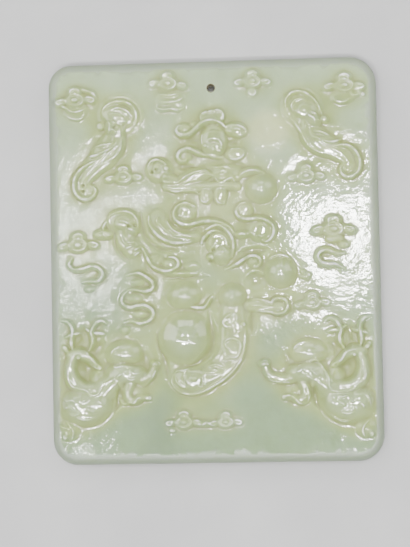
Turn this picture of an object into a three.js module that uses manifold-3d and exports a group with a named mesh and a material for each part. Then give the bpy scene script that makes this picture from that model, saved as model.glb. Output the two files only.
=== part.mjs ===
// A jade pendant: a flat plaque with rounded corners, carved in relief on one face, with one cord hole.
// It lies on its back: +Z out of the carved face, +Y towards the cord hole, origin at the middle of
// the underside. Millimetres.
import * as THREE from "three";
import { mergeVertices } from "three/addons/utils/BufferGeometryUtils.js";
import Module from "manifold-3d";

// Plaque
const plaqueWidth = 61.5;
const plaqueHeight = 75;
const groundLevel = 4.7; // from the back to the ground between the figures
const topLeftRadius = 4.3;
const topRightRadius = 5.2;
const bottomRightRadius = 4.8;
const bottomLeftRadius = 4.7;
const edgeRounding = 1.3; // front and back
const jadeColour = "#c2c9b3";

// Cord hole
const holeDiameter = 1.4;
const holeFromTop = 5.2;

// Heights of the carving above its ground, and depths below it
const lowRise = 0.7; // far ends of ribbons, stems
const bandRise = 1.05; // ribbons and wings
const crestRise = 1.4; // ribs, hooks and cloud heads
const headRise = 1.65; // heads of the bats
const pearlRise = 1.8;
const deerRise = 1.95; // the deer's haunches and chests, the highest of all
const pitDepth = 0.8;
const rootDepth = pitDepth + 0.3; // how far the carving's solids reach into the plaque

// The carving is drawn on a field of this many steps, which stretches with the plaque.
const fieldColumns = 62.1;
const fieldRows = 75.8;
const stepX = plaqueWidth / fieldColumns;
const stepY = plaqueHeight / fieldRows;
const step = Math.min(stepX, stepY);

// How far the middle of the carving lies from the middle of the plaque
const carvingRight = 0.19;
const carvingUp = -0.17;

// Facets
const facetLength = 2.35 * step;
const cornerFacets = 4;
const edgeFacets = 3;
const domeSides = 7;
const domeRings = 2;
const pearlSides = 11;
const pearlRings = 3;
const holeSides = 12;
const spiralTurn = 55; // degrees between the points of a spiral

// A wide ribbon has a flat top, this share of its foot, and a narrower one has a sharp crest.
const wideRibbon = 1.5;
const topShare = 0.5;

// How much of a ribbon tapers at each end, and the share of its width and rise that is left there
const tipLength = 0.25;
const bluntTips = [0.85, 0.85];
const fineTips = [0.35, 0.35];

const wasm = await Module();
wasm.setup();

function solidOf(geometry) {
  geometry.deleteAttribute("normal");
  geometry.deleteAttribute("uv");
  const merged = mergeVertices(geometry, 1e-5);
  const corners = merged.index.array;
  const triVerts = [];
  for (let i = 0; i < corners.length; i += 3) {
    const [a, b, c] = corners.slice(i, i + 3);
    if (a !== b && b !== c && c !== a) triVerts.push(a, b, c);
  }
  return new wasm.Manifold(
    new wasm.Mesh({
      numProp: 3,
      vertProperties: merged.attributes.position.array,
      triVerts: new Uint32Array(triVerts),
    }),
  );
}

function placeOf(x, y) {
  return [x * stepX + carvingRight, y * stepY + carvingUp];
}

// What stands on the ground, and what is sunk into it
const raised = [];
const sunk = [];

// A round boss: the upper half of a ball over a straight root, or a hollow of the same form turned down
function dome(x, y, halfWidth, halfHeight, rise, sides = domeSides, list = raised) {
  const rings = sides > domeSides ? pearlRings : domeRings;
  const profile = [new THREE.Vector2(0, -rootDepth), new THREE.Vector2(1, -rootDepth)];
  for (let i = 0; i < rings; i++) {
    const angle = (Math.PI / 2) * (i / rings);
    profile.push(new THREE.Vector2(Math.cos(angle), rise * Math.sin(angle)));
  }
  profile.push(new THREE.Vector2(0, rise));
  const boss = new THREE.LatheGeometry(profile, sides);
  boss.rotateX(list === raised ? Math.PI / 2 : -Math.PI / 2);
  boss.scale(halfWidth * stepX, halfHeight * stepY, 1);
  boss.translate(...placeOf(x, y), groundLevel);
  list.push(solidOf(boss));
}

function pearl(x, y, halfWidth, halfHeight = halfWidth, rise = pearlRise) {
  dome(x, y, halfWidth, halfHeight, rise, pearlSides);
}

function pit(x, y, halfWidth, halfHeight = halfWidth) {
  dome(x, y, halfWidth, halfHeight, pitDepth, domeSides, sunk);
}

// A ridge along a smooth line through the points. Its width goes from the first to the last of widths.
// It is a box with a row of segments, each of whose sections is set across the line.
function ribbon(points, widths, rise, tips = fineTips, list = raised) {
  const curve = new THREE.CatmullRomCurve3(
    points.map(([x, y]) => new THREE.Vector3(...placeOf(x, y), 0)),
  );
  const count = Math.max(2, Math.round(curve.getLength() / facetLength));
  const [startWidth, endWidth] = [].concat(widths, widths);
  const crestShare = Math.max(startWidth, endWidth) < wideRibbon ? 0 : topShare;
  const up = list === raised;
  const box = new THREE.BoxGeometry(1, 1, 1, count, 1, 1);
  const corner = box.attributes.position;
  for (let i = 0; i < corner.count; i++) {
    const share = Math.round((corner.getX(i) + 0.5) * count) / count;
    const place = curve.getPointAt(share);
    const along = curve.getTangentAt(share);
    const tip = Math.min(
      THREE.MathUtils.lerp(tips[0], 1, Math.min(1, share / tipLength)),
      THREE.MathUtils.lerp(tips[1], 1, Math.min(1, (1 - share) / tipLength)),
    );
    const upper = corner.getZ(i) > 0;
    const crest = upper === up;
    const width = tip * step * THREE.MathUtils.lerp(startWidth, endWidth, share);
    const side = corner.getY(i) * width * (crest ? crestShare : 1);
    const height = (upper ? 1 : -1) * (crest ? rise * tip : rootDepth);
    corner.setXYZ(i, place.x - side * along.y, place.y + side * along.x, groundLevel + height);
  }
  list.push(solidOf(box));
}

function groove(points, width) {
  ribbon(points, width, pitDepth, fineTips, sunk);
}

// Points on a spiral about (x, y), with its angles in degrees anticlockwise from +X
function spiral(x, y, fromRadius, toRadius, fromAngle, toAngle) {
  const count = Math.ceil(Math.abs(toAngle - fromAngle) / spiralTurn);
  return Array.from({ length: count + 1 }, (_, i) => {
    const radius = THREE.MathUtils.lerp(fromRadius, toRadius, i / count);
    const angle = THREE.MathUtils.degToRad(THREE.MathUtils.lerp(fromAngle, toAngle, i / count));
    return [x + radius * Math.cos(angle), y + radius * Math.sin(angle)];
  });
}

// A small cloud: a head with a lobe above it and one at each side
function cloud(x, y, size = 1, lean = 0) {
  dome(x, y, 1.75 * size, 1.25 * size, crestRise);
  dome(x, y + 1.45 * size, 1.35 * size, 0.95 * size, bandRise);
  dome(x - 2.6 * size, y - 0.2 - lean, 1.05 * size, 0.85 * size, bandRise);
  dome(x + 2.6 * size, y - 0.2 + lean, 1.05 * size, 0.85 * size, bandRise);
}

function clouds() {
  cloud(-26, 31.3, 1.05, 0.2);
  dome(-25.7, 29.4, 1.5, 1, lowRise);
  cloud(-8.3, 33.8, 1, -0.2);
  ribbon([[-5.6, 31], [-7.4, 30.3], [-9.8, 30.4]], 0.9, lowRise);
  ribbon([[-10.4, 29.7], [-9, 29], [-5.5, 29.3]], 0.9, lowRise);
  cloud(7.7, 33.8, 0.95);
  dome(7.6, 31.8, 0.95, 0.9, lowRise);
  cloud(24.9, 32.5, 1.05);
  dome(24.2, 29.9, 1.4, 0.9, lowRise);
  cloud(-17, 16.2, 0.95, 0.2);
  cloud(17.4, 15.6, 0.95, 0.2);
  cloud(-25.8, 3.7, 1.05, 0.1);
  ribbon(
    [[-27.1, 1], [-27.5, -0.2], [-26, -1.1], [-23.4, -0.6], [-21.8, -1.4], [-22, -2.8],
     [-25, -3.1]],
    1.1, bandRise,
  );
  cloud(22.3, 5.5, 1.1);
  dome(22.5, 3.9, 1.6, 0.8, bandRise);
  ribbon(
    [[24.4, 0.9], [22.6, 1.1], [20.6, 1.8], [19.2, 0.9], [19.6, -0.5], [21.6, -1], [24, -1.8]],
    1.1, bandRise,
  );
  cloud(18, -8.1, 0.9, 0.2);
  cloud(-6.4, -29.9, 0.95);
  ribbon([[-4.2, -30.2], [-1.2, -30.3]], 1.4, lowRise, bluntTips);
  cloud(1.4, -30, 0.85, 0.1);
}

// A bat from above: a fan-shaped upper wing, a head with one ear, and a ribbed lower wing that ends in
// a curl. It is drawn for the left of the plaque, and side 1 turns it over to the right.
function bat(x, y, side, size, wing, curl) {
  const at = ([u, v]) => [x - side * u * size, y + v * size];
  const spot = (u, v, halfWidth, halfHeight, rise) =>
    dome(...at([u, v]), halfWidth * size, halfHeight * size, rise);
  spot(0, 0, 3.1, 2.4, bandRise);
  const rim = [[-3, -0.3], [-1.9, 1.9], [0.5, 2.7], [2.9, 1.5], [3.8, -0.6], [3, -2.6], [1.2, -4.3]];
  ribbon(rim.map(at), 0.9 * size, lowRise);
  ribbon([[-1, 1.2], [0.6, 1.1], [2, 0.2], [2.5, -1.1]].map(at), 0.8 * size, crestRise);
  spot(-1.4, -3.1, 1.25, 1.6, headRise);
  spot(-3.3, -2.3, 0.7, 0.7, bandRise);
  ribbon(wing, [3.4 * size, 1.1 * size], bandRise, bluntTips);
  ribbon(curl, 1.1 * size, crestRise);
}

// Short ribs across a wing, each with its own middle, length and slope
function ribs(list, width = 0.7) {
  for (const [x, y, length, slope] of list) {
    const half = length / 2;
    ribbon([[x - half, y - half * slope], [x + half, y + half * slope]], width, crestRise);
  }
}

function bats() {
  bat(
    -17.8, 28.4, -1, 1,
    [[-18.5, 23.6], [-19.3, 21], [-22, 19.1], [-24.7, 17.4], [-25.8, 15.3]],
    spiral(-24.1, 14.3, 2.1, 1.1, 150, 400),
  );
  dome(-24.1, 14.3, 2, 1.9, lowRise);
  ribs([[-20.9, 22.6, 2.8, 0.1], [-20.4, 21.4, 2.7, 0.25], [-21.6, 20.5, 2.3, 0.25]]);
  bat(
    16.9, 28.5, 1, 0.95,
    [[18.1, 23.7], [19.4, 21.7], [22, 20.4], [25, 19.9], [26.6, 18.4]],
    spiral(25.4, 17.2, 1.9, 1, 40, -210),
  );
  dome(25.4, 17.1, 1.8, 1.7, lowRise);
  ribs([[20.4, 23.5, 2.8, -0.2], [21.9, 22.3, 3, -0.1], [20, 22.4, 1.7, -0.3]]);
}

// The small bat at the middle of the left side, with a long tail that hooks under the crescent
function sideBat() {
  dome(-17.1, 8.2, 2.6, 1.9, bandRise);
  ribbon([[-19.7, 8.4], [-18.7, 9.8], [-16.8, 10.2], [-15, 9.2], [-14.4, 7.6]], 0.9, lowRise);
  ribbon([[-18.3, 8], [-17, 8], [-15.9, 7.2]], 0.8, crestRise);
  dome(-15.6, 6.1, 1.2, 1, headRise);
  dome(-16.9, 4.5, 1.5, 2, bandRise);
  ribs([[-15.8, 4, 1.9, 0.05], [-14.3, 2.7, 1.7, 0.5], [-14.4, 1.8, 1.5, 0.5]]);
  ribbon(
    [[-13.8, 2.5], [-12.7, 0.9], [-11.4, -0.8], ...spiral(-8.9, 0, 1.8, 1.1, 230, 460)],
    1.1, crestRise,
  );
  dome(-8.9, 0, 1.7, 1.2, lowRise);
  dome(-21, 5.5, 1.8, 0.8, lowRise);
}

// A recumbent deer that looks back over its shoulder, with its legs folded towards the plaque's middle.
// side is -1 at the left and 1 at the right, out and up shift it, and reach is how much further its
// foreleg stretches.
function deer(side, out, up, reach) {
  const at = ([u, v]) => [side * (u + out), v + up];
  const line = (points, width, rise, tips) => ribbon(points.map(at), width, rise, tips);
  const form = (u, v, halfWidth, halfHeight, rise, sides) =>
    dome(...at([u, v]), halfWidth, halfHeight, rise, sides);
  form(17.1, -17.2, 3.6, 2.4, crestRise);
  form(16.8, -21, 3.7, 2.1, headRise, pearlSides);
  form(14.6, -20.9, 1.7, 1.4, crestRise);
  form(24.2, -26.9, 4.7, 3.5, deerRise, pearlSides);
  line([[18, -21.8], [20.2, -23.2], [22.4, -25.2]], [3.6, 5], crestRise, bluntTips);
  line(
    [[21, -22.8], [22.8, -23.7], [25, -23.6], [26.7, -22.2], [27.2, -20], [26.7, -17.8]],
    [2.5, 2.3], crestRise, bluntTips,
  );
  line([[27, -17.3], [25.6, -17.1], [24.2, -17.8], [21.8, -19.8]], [2.4, 1.3], crestRise, bluntTips);
  line(
    [[28.7, -10.9], [27.6, -11.1], [26.7, -13], [26.9, -15.6], [26.4, -16.8]],
    1, bandRise,
  );
  line([[28.2, -14], [26.8, -13.5]], 0.8, lowRise);
  line(
    [[20.2, -11.6], [22.1, -11.3], [23.2, -13.2], [23, -15], [24, -17]],
    1, bandRise,
  );
  line([[20.6, -13.5], [23.2, -13.3]], 0.8, lowRise);
  line(
    [[14.8, -21.9], [13.6 - reach / 2, -22.1], [12.4 - reach, -21.5], [11.4 - reach, -19.3]],
    [2.1, 1.3], bandRise, bluntTips,
  );
  form(11.2 - reach, -19.2, 1.1, 0.8, bandRise);
  line(
    [[15.9, -22.8], [16.4, -24.2], [15.1, -26.1], [12.4, -25.6]],
    [2.1, 1.2], bandRise, bluntTips,
  );
  form(27.3, -31.4, 1.6, 1.7, lowRise);
  const hollows = [[24.9, -13.8, 1.2, 1.9], [21.9, -16.3, 1, 1.7], [24, -20.2, 1.1, 1.6]];
  for (const [u, v, halfWidth, halfHeight] of hollows) pit(...at([u, v]), halfWidth, halfHeight);
}

// The ornament down the middle: a bat's face under a cap, with scrolls and ears at both sides
function crown() {
  ribbon([[-2, 27.2], [0, 27.5], [1.9, 27.4]], 2.3, bandRise, bluntTips);
  ribbon(
    [[2.7, 24.9], [1.5, 25.9], [0, 26.2], [-1.8, 25.9], [-3.3, 24.9],
     ...spiral(-5.1, 25.3, 1.6, 1.5, 305, 175)],
    1, crestRise,
  );
  dome(-5, 25.6, 0.8, 0.7, bandRise);
  ribbon([[2.6, 24.9], [4.6, 24.7], [6.4, 24.3]], [2.9, 1.7], bandRise, bluntTips);
  dome(0.2, 23.3, 2.3, 2.4, crestRise);
  ribbon([[-1, 23], [0.4, 23.3], [1.5, 22.6]], 0.7, pearlRise);
  dome(0.3, 20.5, 1.9, 1.3, bandRise);
  dome(-1.5, 21.8, 0.6, 0.5, headRise);
  dome(1.5, 21.5, 0.7, 0.5, headRise);
  ribbon(
    [[-0.8, 19.7], [-2.6, 20.4], [-4.2, 21.1], ...spiral(-5.3, 20.1, 1.3, 1, 80, 300)],
    0.9, crestRise,
  );
  dome(4.6, 20.2, 1.8, 1.2, bandRise);
  pit(-5, 17.8, 1.9, 0.8);
  pit(4.3, 17.7, 1.7, 0.8);
}

// The row of leaves under the face, from a bat's head at the left to a pearl at the right
function leaves() {
  dome(-10.4, 17.5, 2.1, 1.9, crestRise);
  dome(-8.6, 15.6, 1.8, 1.1, bandRise);
  ribbon([[-7.6, 14.9], [-5.6, 15.6], [-3.8, 16.6], [-0.6, 16.9]], 1.7, bandRise);
  ribbon([[-8.6, 14.1], [-2.6, 14.1], [4.2, 14.1]], 1.8, lowRise, bluntTips);
  ribbon([[0.2, 16], [1.2, 15], [2.7, 15.5], [3.7, 15.6], [4.6, 14.3]], 1, bandRise);
  ribbon([[4.8, 15.7], [5.9, 16.7], [7.8, 16.9], [9.6, 16.2]], 1.2, bandRise);
  dome(1.8, 17, 1.1, 0.7, lowRise);
  dome(-1.5, 12.4, 1.4, 1.8, lowRise);
  dome(1.2, 12.4, 1.4, 1.8, lowRise);
  pearl(8.9, 13.6, 3, 2.9, headRise);
}

// The two S-shaped scrolls, the crescent at their left, and the arch over the lower bat's face
function scrolls() {
  ribbon(
    [[-3.2, 10.5], ...spiral(-5.4, 9.1, 2, 2, 75, 270), [-3.6, 7.3], [-0.8, 7.8], [1.5, 7.3],
     [3, 6]],
    1.2, crestRise,
  );
  ribbon(
    [[6.1, 10.9], ...spiral(5.9, 9.4, 1.6, 1.5, 110, 270), [8, 8],
     ...spiral(8.9, 5.7, 2.3, 2.1, 70, -80)],
    1.2, crestRise,
  );
  dome(-5.4, 9.1, 2, 1.9, bandRise);
  dome(5.8, 9.4, 1.6, 1.5, bandRise);
  dome(9.1, 5.7, 2.3, 2.2, bandRise);
  dome(5.4, 4.8, 0.8, 0.6, bandRise);
  ribbon([[-12.2, 9], [-11.9, 6.9], [-10.4, 5], [-7.9, 3.9], [-4.5, 3.7]], 1.2, crestRise);
  ribbon([[-11, 8.9], [-10.3, 6.8], [-8.6, 5.2], [-4.8, 4.6]], [2.6, 2], lowRise, bluntTips);
  ribbon([[-11.8, 2.4], [-9, 1.9], [-4.6, 1.8]], 1, lowRise);
  ribbon([[-2.5, 3.2], [-1.9, 4.7], [-0.4, 5.7], [1.1, 5.6]], 0.9, crestRise);
  ribbon([[2.1, 5.9], [3.1, 4.5], [3.4, 2.4], [3.2, 0.4]], 0.9, bandRise);
  dome(0.9, 3.9, 1.9, 1.3, bandRise);
  dome(1.4, 1.4, 1.9, 1.6, headRise);
  dome(-0.7, 1, 0.8, 0.7, crestRise);
  ribbon([[2, -1.5], [4.3, -0.5], [5.9, 0.6], ...spiral(7.3, -0.2, 1.1, 0.9, 110, -110)], 0.9, bandRise);
  dome(-4.3, -0.8, 1.4, 0.7, lowRise);
  groove([[-14, 8.6], [-13.3, 5.9], [-11.9, 3.9], [-9.6, 2.9], [-6, 2.7]], 1);
  groove([[5.2, 1.8], [7.6, 2.2], [10, 2]], 1.6);
}

// The long wavy ribbon at the left, below the side bat
function leftRibbon() {
  ribbon(
    [[-16.6, -2.2], [-14.7, -1.9], [-12.8, -3.1], ...spiral(-12.7, -4.2, 1, 1, 20, -90),
     [-15.2, -5]],
    1.1, bandRise,
  );
  ribbon(
    [[-16.9, -5.7], ...spiral(-16.3, -7, 1.4, 1.4, 160, 270), [-14.2, -8],
     ...spiral(-13.4, -9.5, 1.4, 1.4, 70, -90), [-15.6, -10.8], [-17.6, -11.2]],
    1.1, bandRise,
  );
  dome(-17.2, -12.6, 0.9, 0.8, lowRise);
}

// The pearls, the arm with its curl at the right, and the hollow beside it
function pearls() {
  pearl(12.2, -2.2, 3);
  pearl(3.1, -6.6, 2.6, 2.5, headRise);
  pearl(-6, -6.2, 3.2, 2.6, crestRise);
  pearl(-5.9, -14.2, 4.9);
  pit(7.6, -3.8, 1.7, 1.5);
  ribbon([[-9.6, -2.2], [-6.4, -2.5], [-3.4, -2.4]], 1.1, lowRise);
  ribbon([[-3.4, -8.2], [-1.8, -8], [-0.6, -6.6]], 0.9, bandRise);
  ribbon(
    [[6.9, -7.4], [8.8, -7.6], [10.3, -8], ...spiral(11.8, -8.6, 1.4, 1.4, 120, -90),
     [9.6, -9.6], [7.6, -9.4]],
    0.9, bandRise,
  );
  dome(11.8, -8.6, 1.3, 1.2, bandRise);
  dome(16.8, -2.8, 0.9, 0.8, lowRise);
}

// The stem that rises beside the great pearl and turns under it into a fungus head
function fungus() {
  ribbon([[3.1, -8.9], [3.1, -13], [2.8, -16.4], [-1.4, -21.4]], [4.4, 4.2], lowRise, bluntTips);
  ribbon([[3.1, -9.8], [1.7, -10.7], [1.4, -11.7], [2.6, -12.4]], 0.8, bandRise);
  dome(5, -11.9, 0.7, 0.6, bandRise);
  ribbon(spiral(3, -16.4, 1.6, 1.9, 150, -120), 0.9, crestRise);
  dome(3, -16.4, 2, 2, bandRise);
  ribbon([[-1.6, -19.2], [0, -19.4], [1.6, -19.9]], 0.9, crestRise);
  dome(-4.4, -22.1, 3.9, 2.4, bandRise);
  dome(-1, -21.3, 2.6, 1.8, bandRise);
  dome(-4.3, -21.8, 1.6, 1.1, crestRise);
  ribbon(
    [[-8.4, -21.5], [-8, -23.5], [-5, -24.7], [-1, -23.4], [2.6, -20.9], [4.9, -17.5], [5.5, -12.5]],
    0.8, bandRise,
  );
  groove([[-0.7, -9.6], [-0.6, -13], [-1.1, -16], [-2.9, -18.4]], 1.5);
  groove([[6.6, -9.9], [6.7, -13.4]], 1.3);
  groove([[-10.1, -17.4], [-9.5, -19.5], [-9.5, -21.4]], 1.3);
}

function plaqueOutline() {
  const right = plaqueWidth / 2;
  const top = plaqueHeight / 2;
  const outline = new THREE.Shape();
  outline.moveTo(right, bottomRightRadius - top);
  outline.lineTo(right, top - topRightRadius);
  const quarter = Math.PI / 2;
  const corner = (sideX, sideY, radius, from) =>
    outline.absarc(sideX * (right - radius), sideY * (top - radius), radius, from, from + quarter);
  corner(1, 1, topRightRadius, 0);
  outline.lineTo(topLeftRadius - right, top);
  corner(-1, 1, topLeftRadius, quarter);
  outline.lineTo(-right, bottomLeftRadius - top);
  corner(-1, -1, bottomLeftRadius, 2 * quarter);
  outline.lineTo(right - bottomRightRadius, -top);
  corner(1, -1, bottomRightRadius, 3 * quarter);
  return outline;
}

function plaque() {
  const slab = new THREE.ExtrudeGeometry(plaqueOutline(), {
    depth: groundLevel - 2 * edgeRounding,
    bevelThickness: edgeRounding,
    bevelSize: edgeRounding,
    bevelOffset: -edgeRounding,
    bevelSegments: edgeFacets,
    curveSegments: cornerFacets,
  });
  slab.translate(0, 0, edgeRounding);
  return solidOf(slab);
}

function cordHole() {
  const length = 4 * groundLevel;
  const drill = new THREE.CylinderGeometry(holeDiameter / 2, holeDiameter / 2, length, holeSides);
  drill.rotateX(Math.PI / 2);
  drill.translate(0, plaqueHeight / 2 - holeFromTop, 0);
  return solidOf(drill);
}

clouds();
bats();
sideBat();
deer(-1, 0.4, 0.3, 0);
deer(1, 0, 0, 2.4);
crown();
leaves();
scrolls();
leftRibbon();
pearls();
fungus();

let carved = plaque();
for (const hollow of sunk) carved = carved.subtract(hollow);
for (const figure of raised) carved = carved.add(figure);
carved = carved.subtract(cordHole());

const result = carved.getMesh();
const surface = new THREE.BufferGeometry();
surface.setAttribute("position", new THREE.BufferAttribute(result.vertProperties, 3));
surface.setIndex(new THREE.BufferAttribute(result.triVerts, 1));
surface.computeVertexNormals();

const jade = new THREE.MeshStandardMaterial({ color: jadeColour, roughness: 0.25, metalness: 0 });
const jadePlaque = new THREE.Mesh(surface, jade);
jadePlaque.name = "jade_plaque";

const group = new THREE.Group();
group.add(jadePlaque);
export default group;
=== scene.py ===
"""A carved jade plaque pendant that lies on its back on a pale table, seen from above."""

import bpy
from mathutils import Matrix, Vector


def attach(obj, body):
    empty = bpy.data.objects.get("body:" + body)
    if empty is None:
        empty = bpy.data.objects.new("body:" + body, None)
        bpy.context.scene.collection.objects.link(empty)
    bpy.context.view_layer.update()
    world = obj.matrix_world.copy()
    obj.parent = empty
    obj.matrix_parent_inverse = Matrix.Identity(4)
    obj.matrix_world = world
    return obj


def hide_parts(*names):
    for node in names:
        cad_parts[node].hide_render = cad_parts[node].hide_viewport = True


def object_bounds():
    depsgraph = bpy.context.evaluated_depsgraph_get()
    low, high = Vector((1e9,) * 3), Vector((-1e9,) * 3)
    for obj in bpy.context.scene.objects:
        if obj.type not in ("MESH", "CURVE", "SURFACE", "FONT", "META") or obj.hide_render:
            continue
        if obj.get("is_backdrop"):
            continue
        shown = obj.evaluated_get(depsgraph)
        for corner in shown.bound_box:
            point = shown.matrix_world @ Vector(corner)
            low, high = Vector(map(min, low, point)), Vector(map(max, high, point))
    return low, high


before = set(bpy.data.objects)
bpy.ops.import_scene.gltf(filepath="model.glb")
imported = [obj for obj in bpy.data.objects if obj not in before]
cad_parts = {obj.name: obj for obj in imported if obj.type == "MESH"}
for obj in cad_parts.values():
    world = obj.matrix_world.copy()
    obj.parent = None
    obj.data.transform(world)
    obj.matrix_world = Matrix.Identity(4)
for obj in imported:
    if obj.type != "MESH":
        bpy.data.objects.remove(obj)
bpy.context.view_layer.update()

import math
import bpy
import numpy as np
from mathutils import Matrix, Vector

MM = 0.001  # metres

# The plaque, in millimetres
HALF_WIDTH, HALF_HEIGHT = 30.75, 37.5
GROUND = 4.7  # the ground's height above the back
EDGE = 1.3  # the rounding of the edges
RADII = {(-1, 1): 4.3, (1, 1): 5.2, (1, -1): 4.8, (-1, -1): 4.7}  # of the corners, by side and end
HOLE_RADIUS, HOLE_Y = 0.7, 32.3
FLARE = 0.28  # how much wider the cord hole is at its mouths
DRILL_TOP = 9

# The carving, in millimetres above the ground
LOW, BAND, PEARL, TOP = 0.7, 1.05, 1.8, 1.95
SHOULDER, SHOULDER_BEND = 1.8, 0.15  # where the tops begin to level off, and how softly
FIGURE = 0.3  # what is higher belongs to a figure
CUT_DOWN = 0.08  # how much lower the ground is close to the figures
HILLS = ((0.02, 5.5, 3), (0.022, 2.9, 8), (0.012, 1.7, 5))  # height, distance and seed
CARVING_RIGHT, CARVING_UP, CARVING_SCALE = 0.19, -0.17, 0.99  # its place and size on the plaque

# How much wider each form is drawn than its numbers say, because its foot is low and soft
BOSS_SPREAD, BAND_SPREAD, GROOVE_SPREAD = 1.08, 1.2, 1.25
BLUNT, FINE = (0.85, 0.85), (0.4, 0.4)  # shares of a band's size that are left at its two tips
TIP = 0.25  # the share of its length over which it tapers
HALF_LINE = 0.22  # half the width of the line on its crest
FAR = 9.0  # stands for a place away from the form

# How fine the field of the relief and the mesh are
PITCH = 0.15
MARGIN = 0.6
GRID = 0.14
ROUNDING_STEPS, WALL_STEPS, CORNER_ROWS, DRILL_SIDES = 12, 5, 30, 40
MOST_TRIANGLES = 190000

xs = np.arange(-HALF_WIDTH - MARGIN, HALF_WIDTH + MARGIN, PITCH)
ys = np.arange(-HALF_HEIGHT - MARGIN, HALF_HEIGHT + MARGIN, PITCH)
relief = np.zeros((len(ys), len(xs)))


# Tools for carving

def window(x0, x1, y0, y1):
    """The part of the field between these sides, and the places of its points."""
    i0, i1 = np.searchsorted(xs, (x0, x1))
    j0, j1 = np.searchsorted(ys, (y0, y1))
    place = (slice(j0, j1), slice(i0, i1))
    return place, *np.meshgrid(xs[i0:i1], ys[j0:j1])


def raise_to(place, height, soft=0.12):
    """Joins a form to the relief, with a small fillet where the two meet."""
    old = relief[place]
    gap = np.maximum(soft - np.abs(old - height), 0)
    relief[place] = np.maximum(old, height) + gap * gap / (4 * soft)


def swell(q, full=2.0, edge=0.5):
    """A profile from 1 in the middle to 0 at q = 1.

    full flattens its top. An edge of 0.5 makes its foot steep, and 1 makes it gentle.
    """
    return np.where(q < 1, np.maximum(1 - q**full, 0) ** edge, (1 - q) * 2)


def oval(x, y, rx, ry, turn, reach):
    """The window about an oval, and how far each place is from its middle, with 1 at its outline."""
    place, X, Y = window(x - reach, x + reach, y - reach, y + reach)
    c, s = math.cos(math.radians(turn)), math.sin(math.radians(turn))
    u, v = (X - x) * c + (Y - y) * s, (Y - y) * c - (X - x) * s
    return place, np.hypot(u / rx, v / ry)


def boss(x, y, rx, ry, rise, turn=0.0, full=2.2, edge=0.9, soft=0.12):
    rx, ry = BOSS_SPREAD * rx, BOSS_SPREAD * ry
    place, q = oval(x, y, rx, ry, turn, max(rx, ry) + 0.4)
    raise_to(place, rise * swell(q, full, edge), soft)


def lobe(x, y, rx, ry, rise, turn=0.0, edge=0.9, soft=0.12):
    """A boss with a flatter top."""
    boss(x, y, rx, ry, rise, turn, 3, edge, soft)


def pit(x, y, rx, ry, depth, turn=0.0, full=2.0):
    place, q = oval(x, y, rx, ry, turn, 2.1 * max(rx, ry))
    relief[place] -= depth * np.exp(-(q ** (2 * full)) * 0.9)


def smooth_line(points, gap=0.25):
    """Even points on a centripetal Catmull-Rom curve."""
    p = np.array(points, float)
    p = np.vstack([2 * p[0] - p[1], p, 2 * p[-1] - p[-2]])
    out = []
    for a, b, c, d in zip(p, p[1:], p[2:], p[3:]):
        e, f, g = (max(math.sqrt(math.dist(m, n)), 1e-3) for m, n in ((a, b), (b, c), (c, d)))
        m = ((b - a) / e - (c - a) / (e + f) + (c - b) / f) * f
        n = ((c - b) / f - (d - b) / (f + g) + (d - c) / g) * f
        t = np.linspace(0, 1, 13)[:-1, None]
        out.append(b * (1 + t * t * (2 * t - 3)) + c * t * t * (3 - 2 * t)
                   + m * t * (1 - t) ** 2 - n * t * t * (1 - t))
    line = np.vstack([*out, p[-2:-1]])
    run = np.concatenate([[0], np.cumsum(np.hypot(*np.diff(line, axis=0).T))])
    count = max(3, int(run[-1] / gap) + 1)
    at = np.linspace(0, run[-1], count)
    return np.column_stack([np.interp(at, run, line[:, k]) for k in (0, 1)])


def along(points, width, rise, tips):
    """For each place near the line: how far across it is, on which side, and the height there."""
    line = smooth_line(points)
    share = np.linspace(0, 1, len(line))
    tip = np.minimum(*(np.interp(s, (0, TIP), (t, 1)) for s, t in zip((share, 1 - share), tips)))
    spread = lambda v: np.interp(share, np.linspace(0, 1, np.size(v)), np.ravel(v))
    half, top = spread(width) / 2 * tip, spread(rise) * tip
    reach = half.max() + 0.5
    (x0, y0), (x1, y1) = line.min(0) - reach, line.max(0) + reach
    place, X, Y = window(x0, x1, y0, y1)
    across = np.full(X.shape, FAR)
    side, height = np.zeros(X.shape), np.zeros(X.shape)
    for k in range(len(line) - 1):
        (ax, ay), (bx, by) = line[k], line[k + 1]
        dx, dy = bx - ax, by - ay
        t = np.clip(((X - ax) * dx + (Y - ay) * dy) / (dx * dx + dy * dy), 0, 1)
        px, py = X - ax - t * dx, Y - ay - t * dy
        q = np.hypot(px, py) / (half[k] + t * (half[k + 1] - half[k]))
        near = q < across
        across[near] = q[near]
        side[near] = (q * np.sign(dx * py - dy * px))[near]
        height[near] = (top[k] + t * (top[k + 1] - top[k]))[near]
    return place, across, side, height


def band(points, width, rise, tips=FINE, lean=0.0, full=1.8, edge=1.1, soft=0.12, line=0.16):
    """A raised ribbon with a thin line on its crest. lean moves the crest to the left (+) or right (-)."""
    place, across, side, height = along(points, BAND_SPREAD * np.array(width), rise, tips)
    if lean:
        off = side - lean
        across = np.where(off > 0, off / (1 - lean), -off / (1 + lean))
    raise_to(place, np.where(across < 2, height * swell(across, full, edge), -FAR), soft)
    if line:
        far = across * 0.6 * np.mean(width) / HALF_LINE
        relief[place] += line * np.clip(2 * height, 0, 1) * np.maximum(1 - far**2, 0) ** 1.5


def ridge(points, width=0.6, rise=0.3, tips=FINE):
    """A fine crest on what is already there."""
    place, across, _, height = along(points, width, rise, tips)
    relief[place] += height * np.maximum(1 - across**2, 0) ** 1.5


def groove(points, width=0.6, depth=0.4, tips=FINE):
    place, across, _, height = along(points, GROOVE_SPREAD * np.array(width), depth, tips)
    relief[place] -= height * np.maximum(1 - across**2, 0) ** 1.2


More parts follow.
